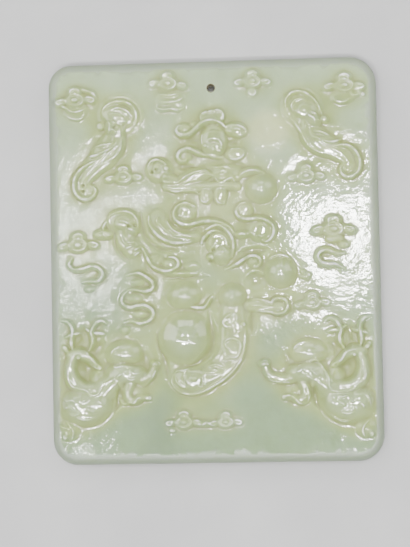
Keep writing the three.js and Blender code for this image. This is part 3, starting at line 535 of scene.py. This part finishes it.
def scrolls():
    lobe(-5.4, 9.3, 2.0, 1.7, 0.65)
    band([(-3.6, 10.4), (-4.3, 10.8), (-5.2, 11.1), (-6.2, 10.9), (-7, 10.3), (-7.4, 9.4), (-7.4, 8.5),
          (-6.9, 7.8), (-6, 7.3), (-4.8, 7.1), (-3.6, 7.35), (-2, 7.7), (-0.6, 7.7), (0.8, 7.5), (2, 7),
          (3, 6.3), (3.6, 5.4)], (0.9, 1.1, 1.1, 1.0), (0.95, 1.2, 1.15, 1.0), lean=-0.25)
    ridge([(-6.4, 10.2), (-5.4, 10.3), (-4.6, 9.8)], 0.5, 0.25)
    lobe(5.8, 9.5, 1.5, 1.4, 0.65)
    lobe(8.6, 5.7, 2.4, 2.2, 0.6)
    band([(6, 10.9), (5.1, 10.8), (4.5, 10.1), (4.2, 9.3), (4.6, 8.5), (5.5, 8), (6.8, 7.9), (8, 8),
          (9.2, 7.8), (10.3, 7.2), (11.1, 6.4), (11.2, 5.4), (10.9, 4.5), (10.3, 3.8), (9.5, 3.5),
          (8.7, 3.8)], (0.9, 1.1, 1.1, 0.9), (0.95, 1.2, 1.15, 1.0), lean=-0.2)
    ridge([(7.9, 6.6), (8.7, 6.8), (9.4, 6.4)], 0.6, 0.35)
    ridge([(8.1, 4.7), (8.8, 4.4), (9.4, 4.7)], 0.6, 0.3)
    band([(4, 5), (5.6, 5), (7, 5.2)], 1.3, 0.6, full=3)
    ridge([(4.6, 4.9), (5.2, 5.1), (5.8, 4.8)], 0.7, 0.3)
    band([(-12.3, 9), (-12.2, 7.6), (-11.5, 6.4), (-10.4, 5.2), (-9, 4.3), (-7.6, 3.9), (-6, 3.8),
          (-4.4, 3.8)], (1.0, 1.2, 1.2, 1.0), (0.9, 1.25, 1.2, 1.0), lean=-0.35)
    band([(-10.8, 9), (-10.4, 7.6), (-9.3, 6.2), (-7.6, 5.2), (-5.4, 4.8), (-3.6, 4.7)], (2.8, 2.8, 2.2),
         0.6, BLUNT, full=3)
    ridge([(-10.3, 8.9), (-10.9, 7.9), (-10.4, 7)], 0.5, 0.35)
    ridge([(-9.1, 9.2), (-8.8, 7.6), (-7.9, 6.2), (-6.2, 5.3), (-4.2, 5)], 0.5, 0.3)
    pit(-5.6, 5.9, 1.5, 0.45, 0.35, turn=-8)
    band([(-2.5, 3.3), (-2.3, 4.1), (-1.7, 4.8), (-0.8, 5.5), (0.2, 5.8), (1.3, 5.5)], 0.8, 1.1)
    band([(-1.6, 6), (-0.4, 6.6), (0.8, 6.7), (1.9, 6.1), (2.8, 5.1), (3.3, 3.9), (3.4, 2.4), (3.3, 0.8)],
         0.9, 0.9, lean=0.2)
    lobe(0.8, 3.4, 2.4, 2.3, 0.75)
    ridge([(-0.8, 4.2), (0, 4.9), (1.2, 4.9), (2.1, 4.1), (2.4, 3)], 0.5, 0.3)
    boss(1.3, 1.4, 2.0, 1.8, 1.2)
    boss(1.5, 1.7, 1.0, 0.8, 1.4)
    boss(-0.6, 0.9, 0.9, 0.75, 1.1)
    pit(-0.3, 2.2, 0.28, 0.26, 0.6)
    pit(-0.8, 0.1, 0.28, 0.26, 0.6)
    ridge([(0.9, 2.7), (1.7, 2.6), (2.3, 2)], 0.45, 0.25)
    ridge([(0.1, -0.3), (1.2, -0.5), (2.4, -0.4)], 0.5, 0.35)
    band([(1.9, -1.5), (3, -1.1), (4.2, -0.5), (5.1, 0.1), (6.1, 0.7), (7.2, 0.9), (8.2, 0.5), (8.5, -0.4),
          (7.9, -1.1), (7, -1.2)], 0.85, (0.9, 1.05, 1.05, 0.95))
    boss(7.1, -0.3, 1.1, 0.9, 0.7)
    band([(10, 0.1), (10.9, 0.7), (11.9, 0.95), (13.2, 0.7), (14.3, 0)], 0.6, 0.6)
    boss(-4.3, -0.8, 1.5, 0.8, 0.6)
    ridge([(-5, -0.9), (-4.2, -0.6), (-3.3, -0.7)], 0.5, 0.3)
    groove([(-13.9, 9.5), (-13.6, 7.2), (-13.1, 5.1), (-11.6, 3.4), (-10, 2.5), (-7, 2.3)], 1.1, 0.4)
    pit(7.4, 1.9, 2.4, 0.65, 0.5, turn=3)


def left_ribbon():
    band([(-16.8, -2.3), (-15.6, -2), (-14.3, -2), (-13, -2.8), (-11.9, -3.8), (-12, -4.8), (-13.3, -5.2),
          (-14.9, -5), (-16.3, -4.9)], 1.0, (0.8, 1.05, 1.1, 1.0), lean=0.3)
    band([(-16.6, -5.1), (-17.5, -6), (-17.8, -7), (-17.2, -8), (-16, -8.4), (-14.7, -8.1), (-13.3, -8.1),
          (-12.1, -8.9), (-12, -10), (-13, -10.9), (-14.4, -11.2), (-15.8, -10.8), (-17.4, -11.1)],
         1.0, (0.9, 1.1, 1.1, 1.0), lean=0.3)
    boss(-14.6, -3.6, 1.4, 0.7, 0.45)
    boss(-15.2, -6.6, 1.5, 0.8, 0.4)
    boss(-14.4, -9.6, 1.3, 0.7, 0.4)
    boss(-17.2, -12.5, 1.0, 0.8, 0.6)


def pearls():
    for x, y, rx, ry, rise in ((12.2, -2.2, 2.9, 2.9, 1.6), (3.1, -6.6, 2.5, 2.4, 1.5),
                               (-6, -6.2, 3.1, 2.5, 1.3), (-5.9, -14.2, 4.8, 4.8, PEARL),
                               (8.9, 13.6, 2.9, 2.8, 1.6)):
        boss(x, y, rx, ry, rise, full=2, edge=1.05, soft=0.2)
    pit(7.6, -3.8, 1.6, 1.4, 0.6, full=1.5)
    band([(5.7, -2.9), (6.6, -2.1), (8, -1.9), (9.2, -2.6)], 0.6, 0.45)
    groove([(-9.9, -2.9), (-6, -2.8), (-1.2, -2.7)], 0.7, 0.3)
    band([(-9.8, -2.1), (-6.4, -2.1), (-3.4, -2.1)], 1.0, 0.5)
    band([(-4.9, -8.4), (-3.2, -8.6), (-2.2, -8.5), (-1.6, -7.9), (-1.2, -7.1), (-0.5, -6.5)], 0.8, 0.95)
    band([(6.7, -7.3), (8, -7.3), (9.4, -7.7), (10.4, -8), (10.9, -7.4), (12, -7.2), (13, -7.6),
          (13.4, -8.6), (12.9, -9.6), (11.6, -10), (10.2, -9.6), (8.8, -9.5), (7.4, -9.4)], 0.8,
         (0.9, 1.1, 1.15, 1.0), lean=0.2)
    band([(6.4, -8.4), (8.4, -8.5), (10.4, -8.8), (12, -8.7)], (2.2, 2.0, 2.2), 0.65, BLUNT, full=3, edge=0.9)
    boss(16.4, -2.3, 0.5, 0.5, 0.6)
    boss(17.4, -2.9, 0.5, 0.5, 0.6)
    boss(16.9, -3.2, 0.9, 0.6, 0.4)


def fungus():
    band([(3.1, -8.9), (3.1, -13), (2.8, -16.4), (1.2, -19.4), (-1.4, -21.4)], (4.3, 4.5, 4.4, 4.2), 0.75,
         BLUNT, full=4, edge=0.9, soft=0.4, line=0)
    lobe(-4.4, -22.1, 3.9, 2.4, 1.0, turn=-6, soft=0.5)
    lobe(-1.0, -21.3, 2.6, 1.8, 0.9, turn=20, soft=0.5)
    band([(-8.3, -20.9), (-8.6, -22.3), (-8, -23.5), (-6.8, -24.3), (-5, -24.7), (-3, -24.4), (-1, -23.4),
          (1, -22.2), (2.6, -20.9), (3.9, -19.4), (4.9, -17.5), (5.4, -15), (5.5, -12)], 0.7,
         (0.75, 0.9, 0.85, 0.8))
    ridge([(-8.1, -20.9), (-7.4, -20.3), (-6.4, -20.3), (-5.4, -20)], 0.55, 0.45)
    ridge([(-7.8, -21.2), (-7.7, -22.2), (-6.9, -23.2), (-5.6, -23.7)], 0.5, 0.25)
    ridge([(-2.4, -20.9), (-1, -20.7), (0.3, -20.9)], 0.5, 0.25)
    ridge([(-1.6, -19.5), (-0.4, -19.3), (0.6, -19.5), (1.6, -20)], 0.6, 0.45)
    ridge([(-0.9, -20.3), (-0.3, -20.2), (0.2, -20.6)], 0.5, 0.3)
    boss(-4.3, -21.8, 1.5, 0.95, 1.25, turn=-10)
    boss(-2.3, -22.9, 0.7, 0.4, 1.1)
    for u in (-4.7, -4.0, -3.4):
        ridge([(u, -21.4), (u + 0.1, -22.2)], 0.35, 0.12)
    groove([(-5.9, -20.9), (-6.3, -21.9), (-5.8, -23)], 0.45, 0.2)
    groove([(-2.9, -21.2), (-2.7, -22.3), (-3.2, -23.4)], 0.45, 0.2)
    lobe(3, -16.4, 2.0, 2.0, 1.05, soft=0.3)
    ridge([(1.1, -18.5), (2.4, -18.1), (3.6, -18), (4.2, -17.4), (4.6, -16.3), (4.5, -15.4), (4, -14.8),
           (3.2, -14.5), (2.2, -14.6), (1.6, -15.1), (1.7, -16), (2.4, -16.4)], 0.6, 0.45)
    ridge([(0.8, -16.2), (0.3, -17.3), (-0.7, -18.4)], 0.6, 0.25)
    ridge([(3.3, -9.7), (2.4, -10.1), (1.5, -10.8), (1.3, -11.6), (1.9, -12.2), (2.9, -12.3)], 0.6, 0.45)
    ridge([(3.4, -9.6), (3.9, -10.4), (3.7, -11.4), (3, -11.6)], 0.5, 0.25)
    ridge([(3.4, -12.9), (4.2, -13.3), (4.9, -12.8)], 0.5, 0.2)
    boss(5.1, -11.9, 0.5, 0.6, 1.05)
    boss(2.1, -11.2, 0.5, 0.5, 0.95)
    groove([(-1.3, -9.4), (-1, -12), (-0.8, -14), (-1.2, -16.2), (-2.6, -18), (-4.2, -19.2), (-5.8, -19.7)],
           (1.5, 1.6, 1.4, 1.0), 0.5)
    groove([(6.7, -9.7), (6.8, -13.6)], 1.3, 0.4)
    groove([(-10.3, -17.2), (-9.6, -19.2), (-9.4, -21.6)], 1.3, 0.45)
    groove([(-11.2, -13), (-10.9, -16), (-9.6, -18.2)], 0.6, 0.25)


# The carving as a whole

def blur(field, reach):
    """Gaussian blur, with reach in millimetres."""
    n = max(1, int(3 * reach / PITCH))
    kernel = np.exp(-0.5 * (np.arange(-n, n + 1) * PITCH / reach) ** 2)
    kernel /= kernel.sum()
    for axis in (0, 1):
        padded = np.pad(field, [(n, n) if k == axis else (0, 0) for k in (0, 1)], "edge")
        inner = tuple(slice(n, -n) if k == axis else slice(None) for k in (0, 1))
        field = sum(w * np.roll(padded, n - k, axis)[inner] for k, w in enumerate(kernel))
    return field


def noise(gap, seed):
    """Smooth random hills about a gap apart, between -1 and 1."""
    count = int(76 / gap) + 5, int(63 / gap) + 5  # over 76 by 63 mm, with a border
    grid = np.random.default_rng(seed).uniform(-1, 1, count)

    def weave(at, g, axis):
        """Cubic spline between the grid's points along one axis."""
        k = at.astype(int)
        t = at - k
        weights = (1 - t) ** 3, 3 * t**3 - 6 * t**2 + 4, 1 + 3 * t + 3 * t**2 - 3 * t**3, t**3
        out = 0
        for j, w in enumerate(weights):
            out = out + np.take(g, k + j, axis) * (w[:, None] if axis == 0 else w[None, :]) / 6
        return out

    return weave((xs - xs[0]) / gap, weave((ys - ys[0]) / gap, grid, 0), 1)


def carve():
    for part in (clouds, top_left_bat, top_right_bat, side_bat, crown, leaves, scrolls, left_ribbon, pearls,
                 fungus, deer_pair):
        part()
    shaped = blur(relief, 0.1)
    near = blur(np.clip(blur((relief > FIGURE).astype(float), 1.0) * 5 - 0.4, 0, 1), 0.8)
    shaped -= CUT_DOWN * near * (1 - np.clip(shaped / 0.5, 0, 1))
    shaped += sum(rise * noise(gap, seed) for rise, gap, seed in HILLS)
    over = np.maximum(shaped - SHOULDER, 0)
    levelled = np.minimum(shaped, SHOULDER) + SHOULDER_BEND * np.tanh(over / SHOULDER_BEND)
    return np.minimum(levelled, TOP)


height = carve()


# The plaque's mesh: a fine grid over the carved face, rings round the edge, and the back

def sample(field, x, y):
    """The field's value at each place of the plaque, between the four nearest points of its grid."""
    i = np.clip(((x - CARVING_RIGHT) / CARVING_SCALE - xs[0]) / PITCH, 0, len(xs) - 1.001)
    j = np.clip(((y - CARVING_UP) / CARVING_SCALE - ys[0]) / PITCH, 0, len(ys) - 1.001)
    a, b = i.astype(int), j.astype(int)
    s, t = i - a, j - b
    return ((field[b, a] * (1 - s) + field[b, a + 1] * s) * (1 - t)
            + (field[b + 1, a] * (1 - s) + field[b + 1, a + 1] * s) * t)


def rows():
    """Heights of the grid's rows, closer together towards the corners' ends."""
    turn = np.sin(np.linspace(0, math.pi / 2, CORNER_ROWS))
    top, low = max(RADII[-1, 1], RADII[1, 1]) - EDGE, max(RADII[-1, -1], RADII[1, -1]) - EDGE
    high, shaded_hollows = HALF_HEIGHT - EDGE - top, HALF_HEIGHT - EDGE - low
    middle = np.linspace(-shaded_hollows, high, int((high + shaded_hollows) / GRID))
    return np.concatenate([(-shaded_hollows - low * turn)[::-1], middle[1:-1], high + top * turn])


def side_at(y, side):
    """Where a row at height y meets the edge's inner line, and the edge's outward direction there."""
    radius = np.where(y > 0, RADII[side, 1], RADII[side, -1]) - EDGE
    over = np.clip((np.abs(y) - (HALF_HEIGHT - EDGE - radius)) / radius, 0, 1)
    lean = np.sqrt(1 - over**2)
    return side * (HALF_WIDTH - EDGE - radius + radius * lean), side * lean, np.sign(y) * over


y = rows()
left, left_nx, left_ny = side_at(y, -1)
right, right_nx, right_ny = side_at(y, 1)
share = np.linspace(0, 1, int(2 * HALF_WIDTH / GRID))
X = left[:, None] + (right - left)[:, None] * share
Y = np.repeat(y[:, None], len(share), 1)
count_y, count_x = X.shape
face = np.column_stack([X.ravel(), Y.ravel(), GROUND + sample(height, X.ravel(), Y.ravel())])
index = np.arange(count_y * count_x).reshape(count_y, count_x)
quads = np.stack([index[:-1, :-1], index[:-1, 1:], index[1:, 1:], index[1:, :-1]], -1).reshape(-1, 4)

# The grid's border, anticlockwise from the lower left, and its outward directions
border = np.concatenate([index[0, :-1], index[:-1, -1], index[-1, :0:-1], index[:0:-1, 0]])
flat = np.ones(count_x - 1)
out_x = np.concatenate([0 * flat, right_nx[:-1], 0 * flat, left_nx[:0:-1]])
out_y = np.concatenate([-flat, right_ny[:-1], flat, left_ny[:0:-1]])
base = face[border]


def ring(out, z, follow):
    """A ring at a distance outside the face's border, with a share of the relief there."""
    x, y = base[:, 0] + out_x * out, base[:, 1] + out_y * out
    return np.column_stack([x, y, z + follow * sample(height, x, y)])


bend = np.linspace(0, math.pi / 2, ROUNDING_STEPS)[1:]
rings = [ring(EDGE * math.sin(a), GROUND - EDGE + EDGE * math.cos(a), min(1, 2.2 * math.cos(a)))
         for a in bend]
rings += [ring(EDGE, z, 0) for z in np.linspace(GROUND - EDGE, EDGE, WALL_STEPS)[1:]]
rings += [ring(EDGE * math.cos(a), EDGE - EDGE * math.sin(a), 0) for a in bend[::2]]
size = len(border)
points = np.vstack([face, *rings, [[0, 0, 0]]])
loops = [border] + [len(face) + k * size + np.arange(size) for k in range(len(rings))]
for a, b in zip(loops, loops[1:]):
    quads = np.vstack([quads, np.stack([b, np.roll(b, -1), np.roll(a, -1), a], -1)])
last = loops[-1]
centre = len(points) - 1
fan = [(int(b), int(a), centre) for a, b in zip(last, np.roll(last, -1))]


def put(name, data):
    """A new object in the scene."""
    made = bpy.data.objects.new(name, data)
    bpy.context.collection.objects.link(made)
    return made


mesh = bpy.data.meshes.new("jade_plaque_carved")
mesh.from_pydata((points * MM).tolist(), [], quads.tolist() + fan)
mesh.validate()
plaque = put("jade_plaque_carved", mesh)

# The cord hole is drilled with a flare at each end.
profile = [(HOLE_RADIUS + FLARE, DRILL_TOP), (HOLE_RADIUS + FLARE, GROUND)]
profile += [(HOLE_RADIUS + FLARE * (1 - math.sin(a)), GROUND - FLARE * (1 - math.cos(a)))
            for a in np.linspace(0.2, math.pi / 2, 6)]
profile += [(r, GROUND - z) for r, z in profile[::-1]]
sides, levels = DRILL_SIDES, len(profile) - 1
drill_points = [(r * math.cos(k * math.tau / sides), HOLE_Y + r * math.sin(k * math.tau / sides), z)
                for r, z in profile for k in range(sides)]
belt = [(k, k + sides, (k + 1) % sides + sides, (k + 1) % sides) for k in range(sides)]
drill_faces = [tuple(i + sides * level for i in f) for level in range(levels) for f in belt]
drill_faces += [tuple(range(sides)), tuple(reversed(range(sides * levels, sides * (levels + 1))))]
drill_mesh = bpy.data.meshes.new("drill")
drill_mesh.from_pydata([tuple(c * MM for c in p) for p in drill_points], [], drill_faces)
drill = put("drill", drill_mesh)

cut = plaque.modifiers.new("cord hole", "BOOLEAN")
cut.operation, cut.solver, cut.object = "DIFFERENCE", "MANIFOLD", drill
thin = plaque.modifiers.new("fewer faces", "DECIMATE")
thin.ratio = MOST_TRIANGLES / (2 * len(quads))
finished = bpy.data.meshes.new_from_object(plaque.evaluated_get(bpy.context.evaluated_depsgraph_get()))
plaque.modifiers.clear()
plaque.data = finished
bpy.data.objects.remove(drill)
bpy.data.meshes.remove(drill_mesh)
bpy.data.meshes.remove(mesh)
finished.name = "jade_plaque_carved"
normals = np.empty(3 * len(finished.polygons), np.float32)
finished.polygons.foreach_get("normal", normals)
finished.polygons.foreach_set("use_smooth", normals[2::3] > -0.999)  # all but the flat back


# What the material follows

def keep(name, values):
    """Stores a value at each point of the mesh, for the material to read."""
    made = finished.attributes.new(name, "FLOAT", "POINT")
    made.data.foreach_set("value", values.astype(np.float32))


# Hollows, heights, crests, closeness to the figures, and the pale cloud in the stone beside the crown
co = np.empty(3 * len(finished.vertices), np.float32)
finished.vertices.foreach_get("co", co)
co = co.reshape(-1, 3) / MM
front = co[:, 2] > GROUND - EDGE
fields = {
    "hollow": np.clip(blur(height, 0.8) - height, 0, 1) + np.clip(blur(height, 0.3) - height, 0, 1),
    "rise": np.clip(height / TOP, -0.5, 1),
    "crest": np.clip(height - blur(height, 0.22), 0, 1),
    "near": blur((relief > FIGURE).astype(float), 2.6),
    "pale cloud": np.exp(-(((xs[None, :] - 10.6) / 5.5) ** 2 + ((ys[:, None] - 24.6) / 4.2) ** 2)),
}
for name, field in fields.items():
    keep(name, np.where(front, sample(field, co[:, 0], co[:, 1]), 0))

# The rounded rim, by its distance from the outline, and the wall of the cord hole
radius = np.select([(co[:, 0] * sx > 0) & (co[:, 1] * sy > 0) for sx, sy in RADII], list(RADII.values()), 4.7)
over_x = np.maximum(np.abs(co[:, 0]) - HALF_WIDTH + radius, 0)
over_y = np.maximum(np.abs(co[:, 1]) - HALF_HEIGHT + radius, 0)
inside = radius - np.hypot(over_x, over_y)
keep("rim", np.clip((EDGE + 0.3 - inside) / 0.35, 0, 1) * np.clip(co[:, 2] / 1.2 - 0.2, 0, 1))
keep("bore", np.hypot(co[:, 0], co[:, 1] - HOLE_Y) < HOLE_RADIUS + 0.1)


# Jade, with the colours of its patches from dark to light

UPPER_GROUND = (0.40, 0.50, 0.32), (0.45, 0.55, 0.36), (0.50, 0.59, 0.39)
# Painted shade: the lower ground is darker, as if the light fell from the top edge
SHADED_LOWER_GROUND = (0.26, 0.355, 0.215), (0.30, 0.405, 0.24), (0.345, 0.445, 0.27)
# Darker olive by the figures: partly the stone's deposit, partly painted shade between the figures
DEPOSIT_AND_SHADE_BY_FIGURES = (0.33, 0.41, 0.17), (0.39, 0.47, 0.20), (0.46, 0.53, 0.25)
SPECKLES = (0.86, 0.87, 0.80), (1.0, 1.0, 1.0)
PALE_CLOUD = (0.62, 0.67, 0.37)
# Painted shade in the hollows and grooves
PAINTED_SHADE_IN_HOLLOWS = (0.32, 0.35, 0.14)
ON_HIGH_PARTS = (0.42, 0.52, 0.32)
# A painted highlight along the crests
PAINTED_HIGHLIGHT_ON_CRESTS = (0.95, 0.98, 0.90)
# Painted shade on the rounded rim, which turns away from the light
PAINTED_SHADE_ON_RIM = (0.25, 0.29, 0.22)
DIRT = (0.20, 0.17, 0.08)
STOPS = 0.3, 0.5, 0.72  # where the patches' three colours lie in the noise


def material(name):
    made = bpy.data.materials.new(name)
    made.use_nodes = True
    tree = made.node_tree
    tree.nodes.clear()
    return made, tree


def node(tree, kind, **values):
    made = tree.nodes.new("ShaderNode" + kind)
    for key, value in values.items():
        if hasattr(made, key):
            setattr(made, key, value)
        else:
            made.inputs[key.replace("_", " ")].default_value = value
    return made


jade, tree = material("carved jade")
link = tree.links.new
shader = node(tree, "BsdfPrincipled")
output = node(tree, "OutputMaterial")
link(shader.outputs[0], output.inputs[0])
coords = node(tree, "TexCoord").outputs["Object"]


def cloudy(scale, detail, roughness):
    made = node(tree, "TexNoise", Scale=scale, Detail=detail, Roughness=roughness)
    link(coords, made.inputs["Vector"])
    return made.outputs["Fac"]


def stored(name):
    return node(tree, "Attribute", attribute_name=name).outputs["Fac"]


def ramp(source, colours, places):
    made = node(tree, "ValToRGB")
    link(source, made.inputs[0])
    made.color_ramp.interpolation = "EASE"
    cells = made.color_ramp.elements
    while len(cells) < len(colours):
        cells.new(0.5)
    for cell, colour, place in zip(cells, colours, places):
        cell.position, cell.color = place, (*colour, 1)
    return made.outputs[0]


def blend(share, a, b, kind="MIX"):
    made = node(tree, "Mix", data_type="RGBA", blend_type=kind)
    for value, socket in ((share, made.inputs[0]), (a, made.inputs[6]), (b, made.inputs[7])):
        if isinstance(value, bpy.types.NodeSocket):
            link(value, socket)
        else:
            socket.default_value = value if isinstance(value, float) else (*value, 1)
    return made.outputs[2]


def remap(source, low, high, to_low=0.0, to_high=1.0):
    made = node(tree, "MapRange", interpolation_type="SMOOTHSTEP")
    link(source, made.inputs["Value"])
    for key, value in (("From Min", low), ("From Max", high), ("To Min", to_low), ("To Max", to_high)):
        made.inputs[key].default_value = value
    return made.outputs[0]


upper = ramp(cloudy(55, 4, 0.5), UPPER_GROUND, STOPS)
shaded_lower = ramp(cloudy(65, 4, 0.5), SHADED_LOWER_GROUND, STOPS)
deposit_and_shade_by_figures = ramp(cloudy(75, 4, 0.6), DEPOSIT_AND_SHADE_BY_FIGURES, STOPS)
height_up = node(tree, "SeparateXYZ")
link(coords, height_up.inputs[0])
# The ground is painted darker towards the bottom, a painted shade for light from the top
ground_shaded_towards_bottom = blend(remap(height_up.outputs[1], -0.028, 0.02), shaded_lower, upper)
rise, rim = stored("rise"), stored("rim")
# Near the figures the ground turns darker olive, partly deposit and partly painted shade
patches = blend(remap(stored("near"), 0.05, 0.4), ground_shaded_towards_bottom, deposit_and_shade_by_figures)
clouded = blend(remap(stored("pale cloud"), 0.2, 0.9, 0.0, 0.8), patches, PALE_CLOUD)
mottled = blend(0.55, clouded, ramp(cloudy(230, 3, 0.6), SPECKLES, (0.32, 0.66)), "MULTIPLY")
# Painted shade: darker olive where the surface lies below its surroundings
shaded_hollows = blend(remap(stored("hollow"), 0.03, 0.5, 0.0, 0.7), mottled, PAINTED_SHADE_IN_HOLLOWS)
light = blend(remap(rise, 0.3, 0.95, 0.0, 0.6), shaded_hollows, ON_HIGH_PARTS)

# The crests get a painted highlight in broken lines, the rim a painted shade, and dirt sits in the cord hole.
crest_highlight_share = node(tree, "Math", operation="MULTIPLY")
link(remap(stored("crest"), 0.055, 0.14), crest_highlight_share.inputs[0])
link(remap(cloudy(520, 2, 0.5), 0.42, 0.64, 0.05, 0.9), crest_highlight_share.inputs[1])
crest_highlighted = blend(crest_highlight_share.outputs[0], light, PAINTED_HIGHLIGHT_ON_CRESTS)
rim_shaded = blend(remap(rim, 0.0, 1.0, 0.0, 0.85), crest_highlighted, PAINTED_SHADE_ON_RIM)
link(blend(stored("bore"), rim_shaded, DIRT), shader.inputs["Base Color"])

# Light scatters inside, and the polish is best on the high parts and worn on the rim.
shader.inputs["Subsurface Weight"].default_value = 1.0
shader.inputs["Subsurface Radius"].default_value = (1.0, 1.05, 0.7)
shader.inputs["Subsurface Scale"].default_value = 0.0016
shader.inputs["IOR"].default_value = 1.61
roughness = node(tree, "Math", operation="MAXIMUM")
link(remap(rise, 0.1, 0.5, 0.075, 0.06), roughness.inputs[0])
link(remap(rim, 0.0, 1.0, 0.0, 0.5), roughness.inputs[1])
link(roughness.outputs[0], shader.inputs["Roughness"])

# A fine grain, mostly on the ground, and waves left by the polishing
grain = node(tree, "Bump", Strength=1.0, Distance=0.000025)
link(cloudy(1300, 2, 0.6), grain.inputs["Height"])
waves = node(tree, "Bump", Strength=1.0, Distance=0.00007)
link(cloudy(330, 2, 0.5), waves.inputs["Height"])
link(grain.outputs[0], waves.inputs["Normal"])
link(remap(rise, 0.1, 0.5, 1.0, 0.25), grain.inputs["Strength"])
link(waves.outputs[0], shader.inputs["Normal"])
link(waves.outputs[0], shader.inputs["Coat Normal"])
link(remap(rise, 0.12, 0.4), shader.inputs["Coat Weight"])
shader.inputs["Coat IOR"].default_value = 1.7
shader.inputs["Coat Roughness"].default_value = 0.04
plaque.data.materials.clear()
plaque.data.materials.append(jade)
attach(plaque, "root")
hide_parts("jade_plaque")


# The table, the lights and the camera

TABLE_HALF = 0.6
TABLE_LEVEL = -0.00002  # just under the back, so that the two don't flicker
TABLE_GREY = (0.50, 0.50, 0.50), (0.55, 0.55, 0.545)
EYE = Vector((19.1, -16.9, 300.8)) * MM  # where the photograph was taken from
AIM = Vector((-1.89, -2.26, 2.6)) * MM
UP = Vector((0.0229, 0.9986, 0.0476))
SENSOR = 36
PICTURE_HEIGHT, FOCAL_LENGTH = 547, 1600  # in the photograph's pixels
ROOM_LIGHT = 0.33

# The small soft boxes whose sheens lie on the ground at the left: place, size and power
LEFT_SHEENS = (
    (-0.055, 0.054, 0.010, 0.007, 0.06), (-0.084, 0.044, 0.016, 0.006, 0.045),
    (-0.073, 0.020, 0.008, 0.020, 0.040), (-0.087, 0.002, 0.010, 0.008, 0.025),
)
SHEEN_HEIGHT = 0.40


def plane(name, half, z):
    corners = [(x * half, y * half, z) for x, y in ((-1, -1), (1, -1), (1, 1), (-1, 1))]
    sheet = bpy.data.meshes.new(name)
    sheet.from_pydata(corners, [], [(0, 1, 2, 3)])
    return put(name, sheet)


table, tree = material("pale table")
link = tree.links.new
cloth = node(tree, "BsdfPrincipled", Roughness=0.75)
link(cloth.outputs[0], node(tree, "OutputMaterial").inputs[0])
coords = node(tree, "TexCoord").outputs["Object"]
link(ramp(cloudy(40, 3, 0.55), TABLE_GREY, (0.3, 0.7)), cloth.inputs["Base Color"])
floor = plane("table", TABLE_HALF, TABLE_LEVEL)
floor.data.materials.append(table)
floor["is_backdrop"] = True

back = (EYE - AIM).normalized()
across = UP.cross(back).normalized()
turned = Matrix((across, back.cross(across), back)).transposed()

camera = bpy.data.cameras.new("camera")
camera.sensor_width = SENSOR
camera.lens = SENSOR * FOCAL_LENGTH / PICTURE_HEIGHT
camera.clip_start, camera.clip_end = 0.01, 10
viewer = put("camera", camera)
viewer.matrix_world = Matrix.Translation(EYE) @ turned.to_4x4()
bpy.context.scene.camera = viewer


def softbox(name, place, size, power, aim=(0, 0, 0)):
    data = bpy.data.lights.new(name, "AREA")
    data.shape, data.size, data.size_y = "RECTANGLE", *size
    data.energy = power
    lamp = put(name, data)
    lamp.location = place
    lamp.rotation_euler = (Vector(aim) - Vector(place)).to_track_quat("-Z", "Y").to_euler()


for k, (x, y, wide, high, power) in enumerate(LEFT_SHEENS):
    target = (0.4 * x, 0.4 * y - 0.01, 0)
    softbox(f"sheen_left_{k + 1}", (x, y, SHEEN_HEIGHT), (wide, high), power, target)
softbox("sheen_right", (0.028, 0.032, SHEEN_HEIGHT), (0.030, 0.034), 0.54, (0.017, 0.002, 0))
softbox("sheen_low_left", (-0.094, -0.066, SHEEN_HEIGHT), (0.014, 0.009), 0.045, (-0.024, -0.036, 0))
softbox("sheen_low_right", (0.056, -0.069, SHEEN_HEIGHT), (0.012, 0.010), 0.07, (0.028, -0.035, 0))
softbox("strip_front", (-0.05, -0.22, 0.90), (1.0, 0.032), 5.5)
for k, x in enumerate((-0.12, 0.06)):
    softbox(f"lamp_{k + 1}", (x, -0.30, 0.90), (0.04, 0.04), 2.4)
softbox("big_left", (-0.9, 0.3, 0.9), (0.9, 0.7), 6)
softbox("big_right", (0.9, 0.5, 0.8), (0.9, 0.7), 4)
softbox("over_top", (-0.03, 0.36, 0.40), (0.40, 0.12), 0.5, (0, 0.03, 0))
world = bpy.data.worlds.new("studio")
bpy.context.scene.world = world
world.use_nodes = True
background = world.node_tree.nodes["Background"]
background.inputs[0].default_value = (1, 1, 1, 1)
background.inputs[1].default_value = ROOM_LIGHT

low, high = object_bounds()
